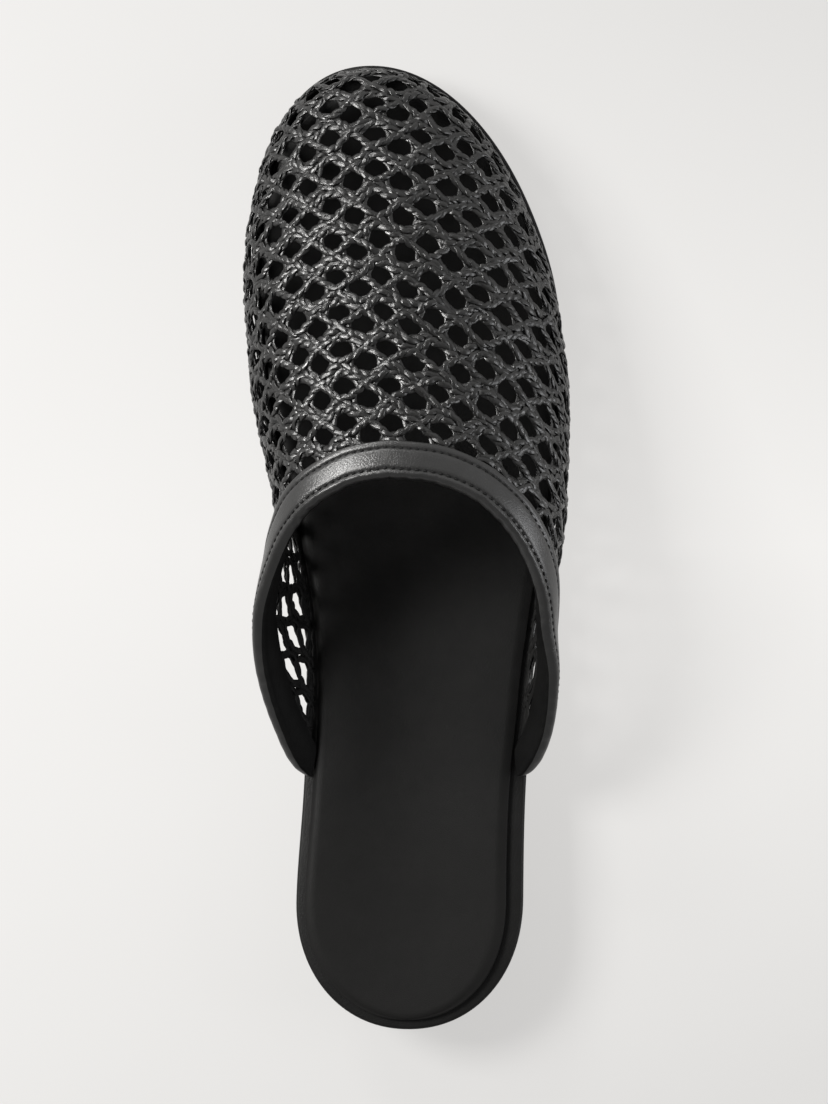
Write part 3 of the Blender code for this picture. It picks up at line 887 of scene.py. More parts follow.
def twisted_cord_tree() -> Tree:
    """Builds the tree that lays twisted plies along guide paths.

    Returns:
        The tree.
    """
    floats = ["Ply Width", "Ply Thickness", "Lay Radius", "Pitch", "Step", "Flatness", "Lean", "Unevenness"]
    inputs = {
        "Geometry": ["Guide"],
        "Int": ["Plies", "Ply Sides", "Seed"],
        "Float": floats,
        "Material": ["Material", "Inner Material"],
    }
    pen, given = NodePen.start("twisted_cord", TreeKind.GEOMETRY, inputs, {"Geometry": ["Cord"]})
    phase, twist, bulk = (pen.attribute(label) for label in ("phase", "twist", "bulk"))
    outward = pen.attribute("outward", "FLOAT_VECTOR")
    position = pen.out("GeometryNodeInputPosition")
    feeds = {"Geometry": pen.even_path(given["Guide"], given["Step"]), "Amount": given["Plies"]}
    copies = pen.node("GeometryNodeDuplicateElements", feeds, domain="SPLINE").outputs
    along = pen.node("GeometryNodeSplineParameter").outputs["Length"]
    tangent = pen.out("GeometryNodeInputTangent")
    side = pen.vector("NORMALIZE", pen.vector("CROSS_PRODUCT", tangent, outward))
    up = pen.vector("CROSS_PRODUCT", side, tangent)
    turns = pen.math("MULTIPLY", pen.math("DIVIDE", along, given["Pitch"]), twist)
    ply = pen.math("DIVIDE", copies["Duplicate Index"], given["Plies"])
    circle = pen.math("MULTIPLY", pen.math("ADD", turns, ply), 2 * math.pi)
    # The plies stray in their turn and in their size, at their own paces and by their own amounts.
    here = pen.vector("ADD", position, pen.scaled((0.0, 0.0, 0.05), phase))
    strays = []
    for pace, most in ((260.0, 5.0), (420.0, 1.9)):
        drift = pen.math("SUBTRACT", pen.noise(here, pace, 1.0).outputs[0], 0.5)
        strays.append(pen.math("MULTIPLY", drift, pen.math("MULTIPLY", given["Unevenness"], most)))
    angle = pen.math("ADD", pen.math("ADD", circle, phase), strays[0])
    aside = pen.math("SINE", angle)
    rise = pen.math("MULTIPLY", pen.math("COSINE", angle), pen.math("SUBTRACT", 1.0, given["Flatness"]))
    facing = pen.vector("ADD", up, pen.scaled(side, pen.math("MULTIPLY", aside, given["Lean"])))
    marks = pen.capture(
        copies["Geometry"],
        "POINT",
        radial=pen.vector("ADD", pen.scaled(up, rise), pen.scaled(side, aside)),
        facing=pen.vector("NORMALIZE", facing),
        along=along,
        size=pen.math("MULTIPLY", pen.math("ADD", strays[1], 1.0), bulk),
    )
    feeds = {"ID": pen.out("GeometryNodeInputIndex"), "Seed": given["Seed"]}
    chance = pen.node("FunctionNodeRandomValue", feeds, data_type="FLOAT")
    tone = next(socket for socket in chance.outputs if socket.enabled)
    tones = pen.capture(marks["Geometry"], "CURVE", tone=tone)
    offset = pen.scaled(marks["radial"], pen.math("MULTIPLY", given["Lay Radius"], bulk))
    laid = pen.out("GeometryNodeSetPosition", {"Geometry": tones["Geometry"], "Offset": offset})
    turned = pen.out("GeometryNodeSetCurveNormal", {"Curve": laid, "Normal": marks["facing"]}, mode="FREE")
    sized = pen.out("GeometryNodeSetCurveRadius", {"Curve": turned, "Radius": marks["size"]})
    feeds = {"Resolution": given["Ply Sides"], "Radius": 1.0}
    outline = pen.out("GeometryNodeCurvePrimitiveCircle", feeds, mode="RADIUS")
    rim = pen.capture(outline, "POINT", across=pen.axis(position, "Y"))
    thick, wide = (pen.math("MULTIPLY", given[label], 0.5) for label in ("Ply Thickness", "Ply Width"))
    half = pen.out("ShaderNodeCombineXYZ", {0: thick, 1: wide, 2: 1.0})
    profile = pen.out("GeometryNodeTransform", {"Geometry": rim["Geometry"], "Scale": half})
    feeds = {"Curve": sized, "Profile Curve": profile, "Fill Caps": True}
    geometry = pen.out("GeometryNodeSetShadeSmooth", {"Geometry": pen.out("GeometryNodeCurveToMesh", feeds)})
    for label, value in (("along", marks["along"]), ("across", rim["across"]), ("tone", tones["tone"])):
        feeds = {"Geometry": geometry, "Name": label, "Value": value}
        geometry = pen.out("GeometryNodeStoreNamedAttribute", feeds, data_type="FLOAT", domain="POINT")
    whole = pen.out("GeometryNodeRealizeInstances", {"Geometry": geometry})
    dressed = pen.out("GeometryNodeSetMaterial", {"Geometry": whole, "Material": given["Material"]})
    # Faces that look into the shoe get the inner material.
    feeds = {0: pen.out("GeometryNodeInputNormal"), 1: outward}
    facing_out = pen.node("ShaderNodeVectorMath", feeds, operation="DOT_PRODUCT").outputs["Value"]
    inner = pen.math("LESS_THAN", facing_out, -0.1)
    feeds = {"Geometry": dressed, "Selection": inner, "Material": given["Inner Material"]}
    return pen.finish(Cord=pen.out("GeometryNodeSetMaterial", feeds))


def stitch_tree() -> Tree:
    """Builds the tree that sets one rounded stitch after another along guide paths.

    Returns:
        The tree.
    """
    sizes = ["Length", "Width", "Height"]
    inputs = {"Geometry": ["Guide"], "Float": ["Pitch", *sizes], "Material": ["Material"]}
    pen, given = NodePen.start("stitch_row", TreeKind.GEOMETRY, inputs, {"Geometry": ["Stitches"]})
    bead = pen.out("GeometryNodeMeshUVSphere", {"Segments": 8, "Rings": 5, "Radius": 0.5})
    size = pen.out("ShaderNodeCombineXYZ", {i: given[label] for i, label in enumerate(sizes)})
    axes = {
        "Primary Axis": pen.attribute("outward", "FLOAT_VECTOR"),
        "Secondary Axis": pen.out("GeometryNodeInputTangent"),
    }
    feeds = {
        "Points": pen.even_path(given["Guide"], given["Pitch"]),
        "Instance": pen.out("GeometryNodeTransform", {"Geometry": bead, "Scale": size}),
        "Rotation": pen.out("FunctionNodeAxesToRotation", axes, primary_axis="Z", secondary_axis="X"),
    }
    sewn = pen.out("GeometryNodeInstanceOnPoints", feeds)
    whole = pen.out("GeometryNodeRealizeInstances", {"Geometry": sewn})
    smooth = pen.out("GeometryNodeSetShadeSmooth", {"Geometry": whole})
    dressed = pen.out("GeometryNodeSetMaterial", {"Geometry": smooth, "Material": given["Material"]})
    return pen.finish(Stitches=dressed)


def loft(name: str, rings: Floats, material: Material, mirror: int | None = None) -> Piece:
    """Makes a closed piece through rings of equally many points.

    Args:
        name: The piece's name.
        rings: Points in millimetres, by ring and by place round the ring.
        material: The piece's material.
        mirror: Sum of the places of two points that face each other, where the end rings close like a zip.

    Returns:
        The piece, with its two ends capped.
    """
    count, around = rings.shape[:2]
    here = np.arange(around)
    after = (here + 1) % around
    band = np.stack([here, after, after + around, here + around], axis=1)
    sides = np.concatenate([band + around * i for i in range(count - 1)])
    faces = sides.tolist()
    last = (count - 1) * around
    if mirror is None:
        faces += [here[::-1].tolist(), (here + last).tolist()]
    else:
        first = (mirror + 1) // 2
        for i in range(first, first + around // 2 - 1):
            strip = [corner % around for corner in (i, i + 1, mirror - i - 1, mirror - i)]
            faces += [strip[::-1], [corner + last for corner in strip]]
    points = rings.reshape(-1, 3)
    mesh = bpy.data.meshes.new(name)
    mesh.from_pydata((points * MM).tolist(), [], faces)
    mesh.validate()
    a, b, c, d = (points[corner] for corner in sides.T)
    if (a * (np.cross(b, c) + np.cross(c, d))).sum() < 0:
        mesh.flip_normals()
    mesh.shade_smooth()
    mesh.set_sharp_from_angle(angle=SHARP_EDGE)
    mesh.materials.append(material)
    return add(name, mesh)


def settle(piece: Piece, slot: Slot, node: str | None = None) -> None:
    """Puts a finished piece on the shoe's body and reports it.

    Args:
        piece: The piece.
        slot: The record's material slot for it.
        node: The frame's node that it stands for.
    """
    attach(piece, BODY)
    if node:
        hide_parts(node)
    LOG.info("%s: %d faces, slot %s", piece.name, len(piece.data.polygons), slot.value)


@dataclass(frozen=True)
class Cord:
    """Sizes of one kind of cord, in millimetres.

    Attributes:
        plies: How many plies it has.
        width: Width of one ply.
        thickness: Thickness of one ply.
        lay: Distance of a ply's middle from the cord's.
        pitch: Length of one full turn.
        step: Distance between the points along it.
        unevenness: How far the plies stray, where 1 is most.
    """

    plies: int
    width: float
    thickness: float
    lay: float
    pitch: float
    step: float = 0.5
    unevenness: float = 1.0


@dataclass
class RaffiaVamp:
    """Crocheted upper: rows of paired cords, zigzag cords between them, rims round the gaps and a hem."""

    flat: FlatUpper
    material: Material
    inner_material: Material
    row_cord: Cord = Cord(2, 1.7, 0.5, 0.58, 6.4)
    leg_cord: Cord = Cord(2, 1.5, 0.46, 0.4, 5.4)
    rim_cord: Cord = Cord(1, 1.4, 0.5, 0.0, 1000.0, 0.6, 0.7)
    hem_cord: Cord = Cord(2, 1.5, 1.0, 0.5, 9.0)
    ply_sides: int = 8
    seed: int = 7
    flatness: float = 0.5
    lean: float = 0.25
    row_pitch: float = 9.96
    row_zero: float = 11.4
    row_arch: float = 0.0053
    row_tilt: float = 0.09
    row_tilt_fall: float = 0.0012
    first_row: int = -8
    last_row: int = 12
    column_zero: float = 1.6
    column_pitch: float = 12.75
    outer_column: int = 16
    stagger: float = 1.4
    half_girth: float = 100.0
    row_step: float = 0.5
    row_height: float = -0.95
    row_turn: float = 1.7
    cord_apart: float = 0.9
    apart_wander: float = 0.12
    leg_step: float = 0.4
    leg_height: float = -0.7
    leg_turn: float = 2.3
    leg_sway: float = 1.9
    leg_point: float = 0.93
    rim_radius: tuple[float, float] = (3.65, 3.35)
    rim_height: float = -1.35
    rim_turn: float = -0.4
    rim_points: int = 41
    hem_start: float = -59.0
    hem_height: float = -0.9
    hem_girth: float = 1.96
    hem_facing: float = 1.9
    hem_turn: float = 0.4
    hem_points: int = 300
    hem_gap: float = 0.05
    wander: float = 0.5
    height_wander: float = 0.3
    sole_gap: float = 0.1
    toe_gap: float = 0.3
    collar_overlap: float = 3.6
    fewest_points: int = 5
    wing_reach: float = 14.0
    wing_slimming: float = 0.3
    wing_opening: float = 0.14
    tree: Tree = field(default_factory=twisted_cord_tree)

    def along_row(self, u: Any, w: Any) -> Floats:
        """Returns the run v of a place u from the ridge in the row at w."""
        return w - self.row_arch * np.square(u) - (self.row_tilt - self.row_tilt_fall * w) * u

    def on_wing(self, v: Any) -> Floats:
        """Returns how far onto the wings each run v lies, from 0 on the vamp to 1."""
        return np.clip(-np.asarray(v) / self.wing_reach, 0.0, 1.0)

    def swing(self, u: Any) -> Floats:
        """Returns the wave of the rows at u, which is 1 where they sway furthest towards the toe."""
        return np.cos(2 * math.pi * (u - self.column_zero) / self.column_pitch)

    def guides(self, u: Floats, w: Floats, height: Floats, phase: float, twist: Twist) -> list[Guide]:
        """Lays one cord's path on the upper and cuts it at the feather line and under the collar.

        Args:
            u: Distances from the ridge.
            w: Row places.
            height: Heights over the outer face.
            phase: Angle at which the plies start.
            twist: Which way they turn.

        Returns:
            The parts of the path that lie on the upper.
        """
        u = u + self.wander * wobble(u, w, 1.0)
        w = w + self.wander * wobble(u, w, 2.0)
        v = self.along_row(u, w)
        kept = (self.flat.reach(u, v) > self.sole_gap) & (v < self.flat.runs[-1] - self.toe_gap)
        kept &= self.flat.depth(u, v) > self.collar_overlap
        cuts = np.flatnonzero(np.diff(np.concatenate([[0], kept.astype(int), [0]])))
        found = []
        for start, end in zip(cuts[::2], cuts[1::2]):
            if end - start >= self.fewest_points:
                part = slice(start, end)
                points, outward = self.flat.over(u[part], v[part], height[part])
                bulk = 1 - self.wing_slimming * self.on_wing(v[part])
                found.append(Guide(points * MM, outward, phase, twist, bulk))
        return found

    def row_guides(self) -> list[Guide]:
        """Lays the paired cords between the rows of gaps.

        Returns:
            Their paths.
        """
        u = np.arange(-self.half_girth, self.half_girth, self.row_step)
        found = []
        for row in range(self.first_row, self.last_row + 1):
            middle = self.row_zero + self.row_pitch * (row - 0.5) + self.stagger * self.swing(u)
            for twist in Twist:
                apart = twist.value * self.cord_apart * (1 + self.apart_wander * wobble(u, middle, 3.0))
                height = self.row_height + self.height_wander * wobble(u, middle, 4.0 + twist.value)
                found += self.guides(u, middle + apart, height, self.row_turn * row + twist.value, twist)
        return found

    def leg_guides(self) -> list[Guide]:
        """Lays the cords that zigzag between the rows of paired cords.

        Returns:
            Their paths.
        """
        u = np.arange(-self.half_girth, self.half_girth, self.leg_step)
        zigzag = -self.leg_sway * np.arcsin(self.leg_point * self.swing(u)) / math.asin(self.leg_point)
        found = []
        for row in range(self.first_row, self.last_row):
            w = self.row_zero + self.row_pitch * row + zigzag
            height = self.leg_height + self.height_wander * wobble(u, w, 7.0)
            found += self.guides(u, w, height, self.leg_turn * row, Twist.RIGHT if row % 2 else Twist.LEFT)
        return found

    def rim_guides(self) -> list[Guide]:
        """Lays the flat strands that rim the gaps, which stand high and low by turns.

        Returns:
            Their paths.
        """
        turn = np.linspace(0, 2 * math.pi, self.rim_points)
        height = np.full(self.rim_points, self.rim_height)
        wide, tall = self.rim_radius
        found = []
        for row in range(self.first_row, self.last_row):
            for column in range(-self.outer_column, self.outer_column + 1):
                u = self.column_zero + self.column_pitch / 2 * column
                w = self.row_zero + self.row_pitch * row + (-self.stagger if column % 2 else self.stagger)
                grown = 1 + self.wing_opening * self.on_wing(self.along_row(u, w))
                u = u + grown * wide * np.cos(turn)
                w = w + grown * tall * np.sin(turn)
                found += self.guides(u, w, height, self.rim_turn, Twist.RIGHT)
        return found

    def hem_guides(self) -> list[Guide]:
        """Lays the cord that finishes the upper along the sole.

        Returns:
            Its path.
        """
        first, last = float(self.flat.run(self.hem_start)), self.flat.runs[-1] - self.hem_gap
        y = self.flat.station(np.linspace(first, last, self.hem_points))
        sides = np.repeat([-1.0, 1.0], self.hem_points)
        y = np.concatenate([y, y[::-1]])
        points = self.flat.shape.point(y, sides * self.hem_girth)
        outward = self.flat.shape.slopes(y, sides * self.hem_facing)[2]
        return [Guide((points + self.hem_height * outward) * MM, outward, self.hem_turn)]

    def lay(self, name: str, guides: list[Guide], cord: Cord, node: str | None = None) -> None:
        """Grows cords along paths and puts them on the shoe.

        Args:
            name: The piece's name.
            guides: The paths.
            cord: The cords' sizes.
            node: The frame's node that the piece stands for.
        """
        sizes = {
            "Plies": cord.plies,
            "Pitch": cord.pitch * MM,
            "Lay Radius": cord.lay * MM,
            "Flatness": self.flatness,
            "Lean": self.lean,
            "Ply Width": cord.width * MM,
            "Ply Thickness": cord.thickness * MM,
            "Ply Sides": self.ply_sides,
            "Step": cord.step * MM,
            "Unevenness": cord.unevenness,
            "Seed": self.seed,
            "Material": self.material,
            "Inner Material": self.inner_material,
        }
        settle(grow(name, guides, self.tree, sizes), Slot.RAFFIA, node)

    def build(self) -> None:
        """Builds the rows, the legs, the rims and the hem, and puts them on the shoe."""
        rows = self.row_guides()
        left, right = ([guide for guide in rows if guide.twist is twist] for twist in Twist)
        self.lay("upper_left_cords", left, self.row_cord)
        self.lay("upper_right_cords", right, self.row_cord, "upper")
        self.lay("upper_leg_strands", self.leg_guides(), self.leg_cord)
        self.lay("upper_rim_strands", self.rim_guides(), self.rim_cord)
        self.lay("upper_hem_cord", self.hem_guides(), self.hem_cord)


@dataclass
class CollarBinding:
    """Leather strip folded over the collar's edge and sewn in two rows."""

    shape: UpperShape
    leather: Material
    shaded_lining: Material
    thread: Material
    width: float = 7.7
    inner_width: float = 5.8
    thickness: float = 1.2
    clearance: float = 0.4
    end: float = 1.97
    insole_thickness: float = 2.0
    ring_step: float = 0.8
    edge_points: int = 2001
    track_step: float = 0.125
    tracks_in: int = 68
    tracks_back: int = 24
    room_points: int = 39
    least_room: float = 0.4
    crown: float = 0.22
    fold: float = 1.9
    fold_power: float = 2.6
    fold_wander: float = 0.05
    fold_ripple: float = 0.04
    fold_ripple_pitch: float = 4.2
    pinch: float = 1.6
    pinch_reach: float = 4.5
    end_round: float = 9.0
    end_height: float = -2.6
    end_size: float = 0.12
    groove: float = 0.38
    groove_width: float = 0.36
    upper_row: float = 5.8
    lower_row: float = 0.15
    pucker: float = 0.1
    stitch_pitch: float = 2.06
    stitch_sink: float = 0.12
    stitch: Triple = (1.2, 0.75, 0.5)
    inner_points: int = 21

    @cached_property
    def girths(self) -> Floats:
        """Steps along the collar's edge.

        Returns:
            Girth positions at even steps.
        """
        g = np.linspace(-self.end, self.end, self.edge_points)
        run = lengths(self.shape.point(self.shape.collar(g), g))
        return np.interp(np.arange(0.0, run[-1], self.ring_step), run, g)

    @cached_property
    def face(self) -> float:
        """Returns the height of the strip's outer face over the upper's."""
        return self.clearance + self.thickness

    @cached_property
    def tracks(self) -> tuple[Floats, Floats, Floats]:
        """Walks from the collar's edge into the upper, and a little way back from it, at every ring.

        Returns:
            Depths in from the edge, and the stations and girth positions at each depth and ring.
        """
        shape, g, probe = self.shape, self.girths, self.shape.probe_g
        start = shape.collar(g)
        ahead, behind = (shape.point(shape.collar(at), at) for at in (g + probe, g - probe))
        inward = np.cross(shape.slopes(start, g)[2], ahead - behind)
        inward *= (np.sign(inward[:, 1]) / np.linalg.norm(inward, axis=1))[:, None]
        places = {0: np.stack([start, g])}
        for order in (range(1, self.tracks_in + 1), range(-1, -self.tracks_back - 1, -1)):
            place, way = places[0], inward
            for i in order:
                slopes = np.stack(shape.slopes(*place)[:2], axis=2)
                move = np.einsum("nij,nj->ni", np.linalg.pinv(slopes), way)
                way = np.einsum("nij,nj->ni", slopes, move)
                size = np.linalg.norm(way, axis=1, keepdims=True)
                way = way / size
                place = place + (move / size).T * math.copysign(self.track_step, i)
                places[i] = place
        numbers = range(-self.tracks_back, self.tracks_in + 1)
        table = np.stack([places[i] for i in numbers])
        return np.array(numbers) * self.track_step, table[:, 0], table[:, 1]

    def section(self, number: int, depth: Floats, height: Floats) -> tuple[Floats, Floats]:
        """Returns points at depths in from a ring's edge and heights over the face, and the normals there."""
        depths, *tables = self.tracks
        return self.shape.over(*(np.interp(depth, depths, table[:, number]) for table in tables), height)

    def room(self, number: int, height: float, floor: Callable[[Any], Floats]) -> float:
        """Finds how deep the strip can go before it comes down to what lies under it.

        Args:
            number: The ring's place along the strip.
            height: Height of the strip's face over the upper's.
            floor: Lowest height allowed at a station.

        Returns:
            The depth, up to the strip's width.
        """
        tried = np.linspace(0.0, self.width, self.room_points)
        points, _ = self.section(number, tried, np.full(self.room_points, height))
        low = np.flatnonzero(points[:, 2] < floor(points[:, 1]))
        return max(float(tried[low[0]] - tried[1]), self.least_room) if len(low) else self.width

    def outer_floor(self, y: Any) -> Floats:
        """Returns the lowest height allowed outside the upper, over the outsole."""
        return self.shape.sole.top(y) + self.shape.sole.gap

    def inner_floor(self, y: Any) -> Floats:
        """Returns the lowest height allowed inside the upper, over the insole."""
        return self.shape.sole.top(y) + self.insole_thickness + 3 * self.shape.sole.gap

    def outer_height(self, depth: Floats, along: float) -> Floats:
        """Finds the crowned outer face with its two stitch grooves.

        Args:
            depth: Distances inward from the edge.
            along: Distance along the strip.

        Returns:
            Heights over the upper's face.
        """
        rows = (self.upper_row, self.lower_row)
        swell = self.crown * (1 - np.square((depth - self.width / 2) / (self.width / 2)))
        sewn = sum(np.exp(-np.square((depth - row) / self.groove_width)) for row in rows)
        pull = self.groove + self.pucker * math.cos(2 * math.pi * along / self.stitch_pitch)
        return self.face + swell - pull * sewn

    def ring(self, number: int) -> Floats:
        """Builds one section of the folded strip.

        Args:
            number: The ring's place along the strip.

        Returns:
            Points round the section.
        """
        inner_wall = -self.shape.wall - self.clearance
        inner_face = -self.shape.wall - self.face
        outer = self.room(number, self.face, self.outer_floor)
        inner = min(self.room(number, inner_face, self.inner_floor), self.inner_width)
        along = number * self.ring_step
        near_row = np.array([0.6, 0.3, 0.0, -0.3, -0.6])
        upper, lower = self.upper_row + near_row, self.lower_row + near_row
        depth = np.concatenate([[7.3, 6.8], upper, [4.6, 3.9, 3.0, 2.1, 1.4], lower, [-0.8]])
        outside = np.stack([depth * outer / self.width, self.outer_height(depth, along)], axis=1)
        top = outside[0, 1]
        lip = [[outer, self.clearance]]
        lip += [[outer + out, top - down] for out, down in ((0.12, 0.8), (0.1, 0.35), (-0.15, 0.08))]
        shares = np.array([0.0, 0.08, 0.16, 0.25, 0.35, 0.5, 0.7, 0.85, 0.97]) * inner
        near = np.square(np.clip(1 - shares / self.pinch_reach, 0, 1))
        inside = np.stack([shares, inner_face + self.pinch * near], axis=1)
        turn = np.radians(np.arange(70.0, -76.0, -10.0))
        middle, radius = (self.face + inside[0, 1]) / 2, (self.face - inside[0, 1]) / 2
        ripple = self.fold_ripple * math.cos(2 * math.pi * along / self.fold_ripple_pitch)
        bend = self.fold * (1 + self.fold_wander * wobble(along, 0.0, 5.0) + ripple)
        round_out = np.abs(np.cos(turn)) ** (2 / self.fold_power)
        round_up = np.sign(turn) * np.abs(np.sin(turn)) ** (2 / self.fold_power)
        fold = np.stack([-bend * round_out, middle + radius * round_up], axis=1)
        hidden = [
            [inner, inner_face + 0.35],
            [inner, inner_wall],
            [inner * 0.6, inner_wall],
            [0.4, inside[0, 1] + self.thickness],
            [0.4, self.clearance],
            [outer * 0.5, self.clearance],
        ]
        profile = np.concatenate([lip, outside, fold, inside, hidden])
        left = min(number, len(self.girths) - 1 - number) * self.ring_step
        size = max(float(closing(self.end_round - left, 0.0, self.end_round, 2.0)), self.end_size)
        profile[:, 0] = np.where(profile[:, 0] < 0, profile[:, 0] * size, profile[:, 0])
        profile[:, 1] = self.end_height + (profile[:, 1] - self.end_height) * size
        return self.section(number, profile[:, 0], profile[:, 1])[0]

    def stitch_guide(self, depth: float) -> Guide:
        """Lays the path of one stitch row, the upper one only where the strip has its full width.

        Args:
            depth: Its distance inward from the collar's edge.

        Returns:
            The path.
        """
        places = []
        ends = int(self.end_round / self.ring_step)
        height = np.array([self.face - self.stitch_sink])
        for number in range(ends, len(self.girths) - ends):
            room = self.room(number, self.face, self.outer_floor)
            if room == self.width or depth < self.width / 2:
                places.append(self.section(number, np.array([depth * room / self.width]), height))
        points, outward = (np.concatenate(part) for part in zip(*places))
        return Guide(points * MM, outward)

    def build(self) -> None:
        """Builds the strip and its stitches, and puts them on the shoe."""
        rings = np.stack([self.ring(number) for number in range(len(self.girths))])
        strip = loft("collar_binding_strip", rings, self.leather)
        # The strip's inner side takes a duller leather whose darker colour is painted shade where the strip
        # faces into the shoe.
        strip.data.materials.append(self.shaded_lining)
        around = rings.shape[1]
        inner_side = np.arange(len(strip.data.polygons)) % around >= around - self.inner_points
        strip.data.polygons.foreach_set("material_index", inner_side.astype(np.int32))
        settle(strip, Slot.BINDING, "collar_binding")
        guides = [self.stitch_guide(self.upper_row), self.stitch_guide(self.lower_row)]
        sizes = dict(zip(("Length", "Width", "Height"), (size * MM for size in self.stitch)))
        sizes |= {"Pitch": self.stitch_pitch * MM, "Material": self.thread}
        settle(grow("collar_stitches", guides, stitch_tree(), sizes), Slot.BINDING)


def heel_to_toe(count: int) -> list[float]:
    """Returns places from heel (-1) to toe (1), closer together at the round ends."""
    return [-math.cos(math.pi * (i + 0.5) / count) for i in range(count)]


def rounded(radius: float, degrees: Sequence[float]) -> list[tuple[float, float]]:
    """Returns how far in and how far down a rounded edge lies at each angle, from its side (0) to its top."""
    turns = np.radians(degrees)
    return [(radius * (1 - math.cos(turn)), radius * (1 - math.sin(turn))) for turn in turns]


@dataclass
class Insole:
    """Leather insole with a cupped top and rounded edges."""

    sole: SoleShape
    leather: Material
    inset: float = 2.6
    toe_inset: float = 6.0
    thickness: float = 1.8
    edge_thickness: float = 1.2
    edge_round: float = 0.4
    skive: float = 0.06
    pad_middle: float = -0.7
    pad_width: float = 0.35
    columns_across: int = 41
    stations: int = 120
    # Each row holds a station, the cup's depth, the arch pad's height and how far the lateral edge moves in.
    rows: Rows = (
        (-125.0, 1.3, 0.0, 0.8),
        (-90.0, 1.3, 0.2, 1.8),
        (-65.0, 1.2, 0.7, 1.6),
        (-40.0, 1.0, 1.2, 0.6),
        (0.0, 0.6, 1.0, 0.0),
        (50.0, 0.6, 0.0, 0.0),
        (125.0, 0.2, 0.0, 0.0),
    )

    def __post_init__(self) -> None:
        """Reads the table's columns as curves over stations."""
        self.cup, self.pad, self.pull = columns(self.rows)

    def closed(self, y: float) -> float:
        """Returns how much of its full width the insole has at a station, from 1 to 0 at its round ends."""
        return float(self.sole.half_width(y, self.inset) / (self.sole.full_half_width(y) - self.inset))

    def place(self, share: float, across: float, inset: float) -> tuple[float, float]:
        """Returns a place's x and y, from its share heel to toe, its place across and how far in it lies."""
        x, y = self.sole.edge(share, across, self.inset + inset, self.toe_inset + inset)
        return x - float(self.pull(y)) * self.closed(y) * (across + 1) / 2, y

    def top(self, y: float, across: float) -> float:
        """Finds the height of the cupped face.

        Args:
            y: Station.
            across: Place from -1 (medial edge) to 1.

        Returns:
            The height.
        """
        sole = self.sole
        heel = (sole.heel_round_start - y) / (sole.heel_round_start + sole.length / 2 - self.inset)
        toe = (y - sole.toe_round_start) / (sole.length / 2 - self.inset - sole.toe_round_start)
        # Distance from the middle towards the outline, which is at 1.
        outward = min(math.hypot(across * self.closed(y), max(heel, toe, 0.0)), 1.0)
        hollow = self.cup(y) * (1 - outward**2) ** 1.5
        raised = self.pad(y) * math.exp(-(((across - self.pad_middle) / self.pad_width) ** 2))
        thinned = (self.thickness - self.edge_thickness) * max(1 - (1 - outward) / self.skive, 0.0) ** 2
        return float(sole.top(y) + sole.gap + self.thickness - hollow + raised - thinned)

    def rim(self, share: float, side: float, inset: float, rise: float) -> Triple:
        """Returns a point of the edge, this far in and this far over the insole's underside."""
        x, y = self.place(share, side, inset)
        return x, y, float(self.sole.top(y)) + self.sole.gap + rise

    def ring(self, share: float) -> list[Triple]:
        """Builds one section across the insole.

        Args:
            share: Place from heel (-1) to toe (1).

        Returns:
            Points round the section.
        """
        bends = rounded(self.edge_round, (0.0, 22.5, 45.0, 67.5))
        edge = [(inset, self.edge_thickness - down) for inset, down in bends]
        points = [self.rim(share, 1.0, 0.0, 0.0), self.rim(share, -1.0, 0.0, 0.0)]
        points += [self.rim(share, -1.0, *at) for at in edge]
        for across in np.linspace(-1, 1, self.columns_across).tolist():
            x, y = self.place(share, across, self.edge_round)
            points.append((x, y, self.top(y, across)))
        return points + [self.rim(share, 1.0, *at) for at in edge[::-1]]

    def build(self) -> None:
        """Builds the insole and puts it on the shoe."""
        rings = np.array([self.ring(share) for share in heel_to_toe(self.stations)])
        settle(loft("insole_cover", rings, self.leather, 1), Slot.INSOLE, "insole")


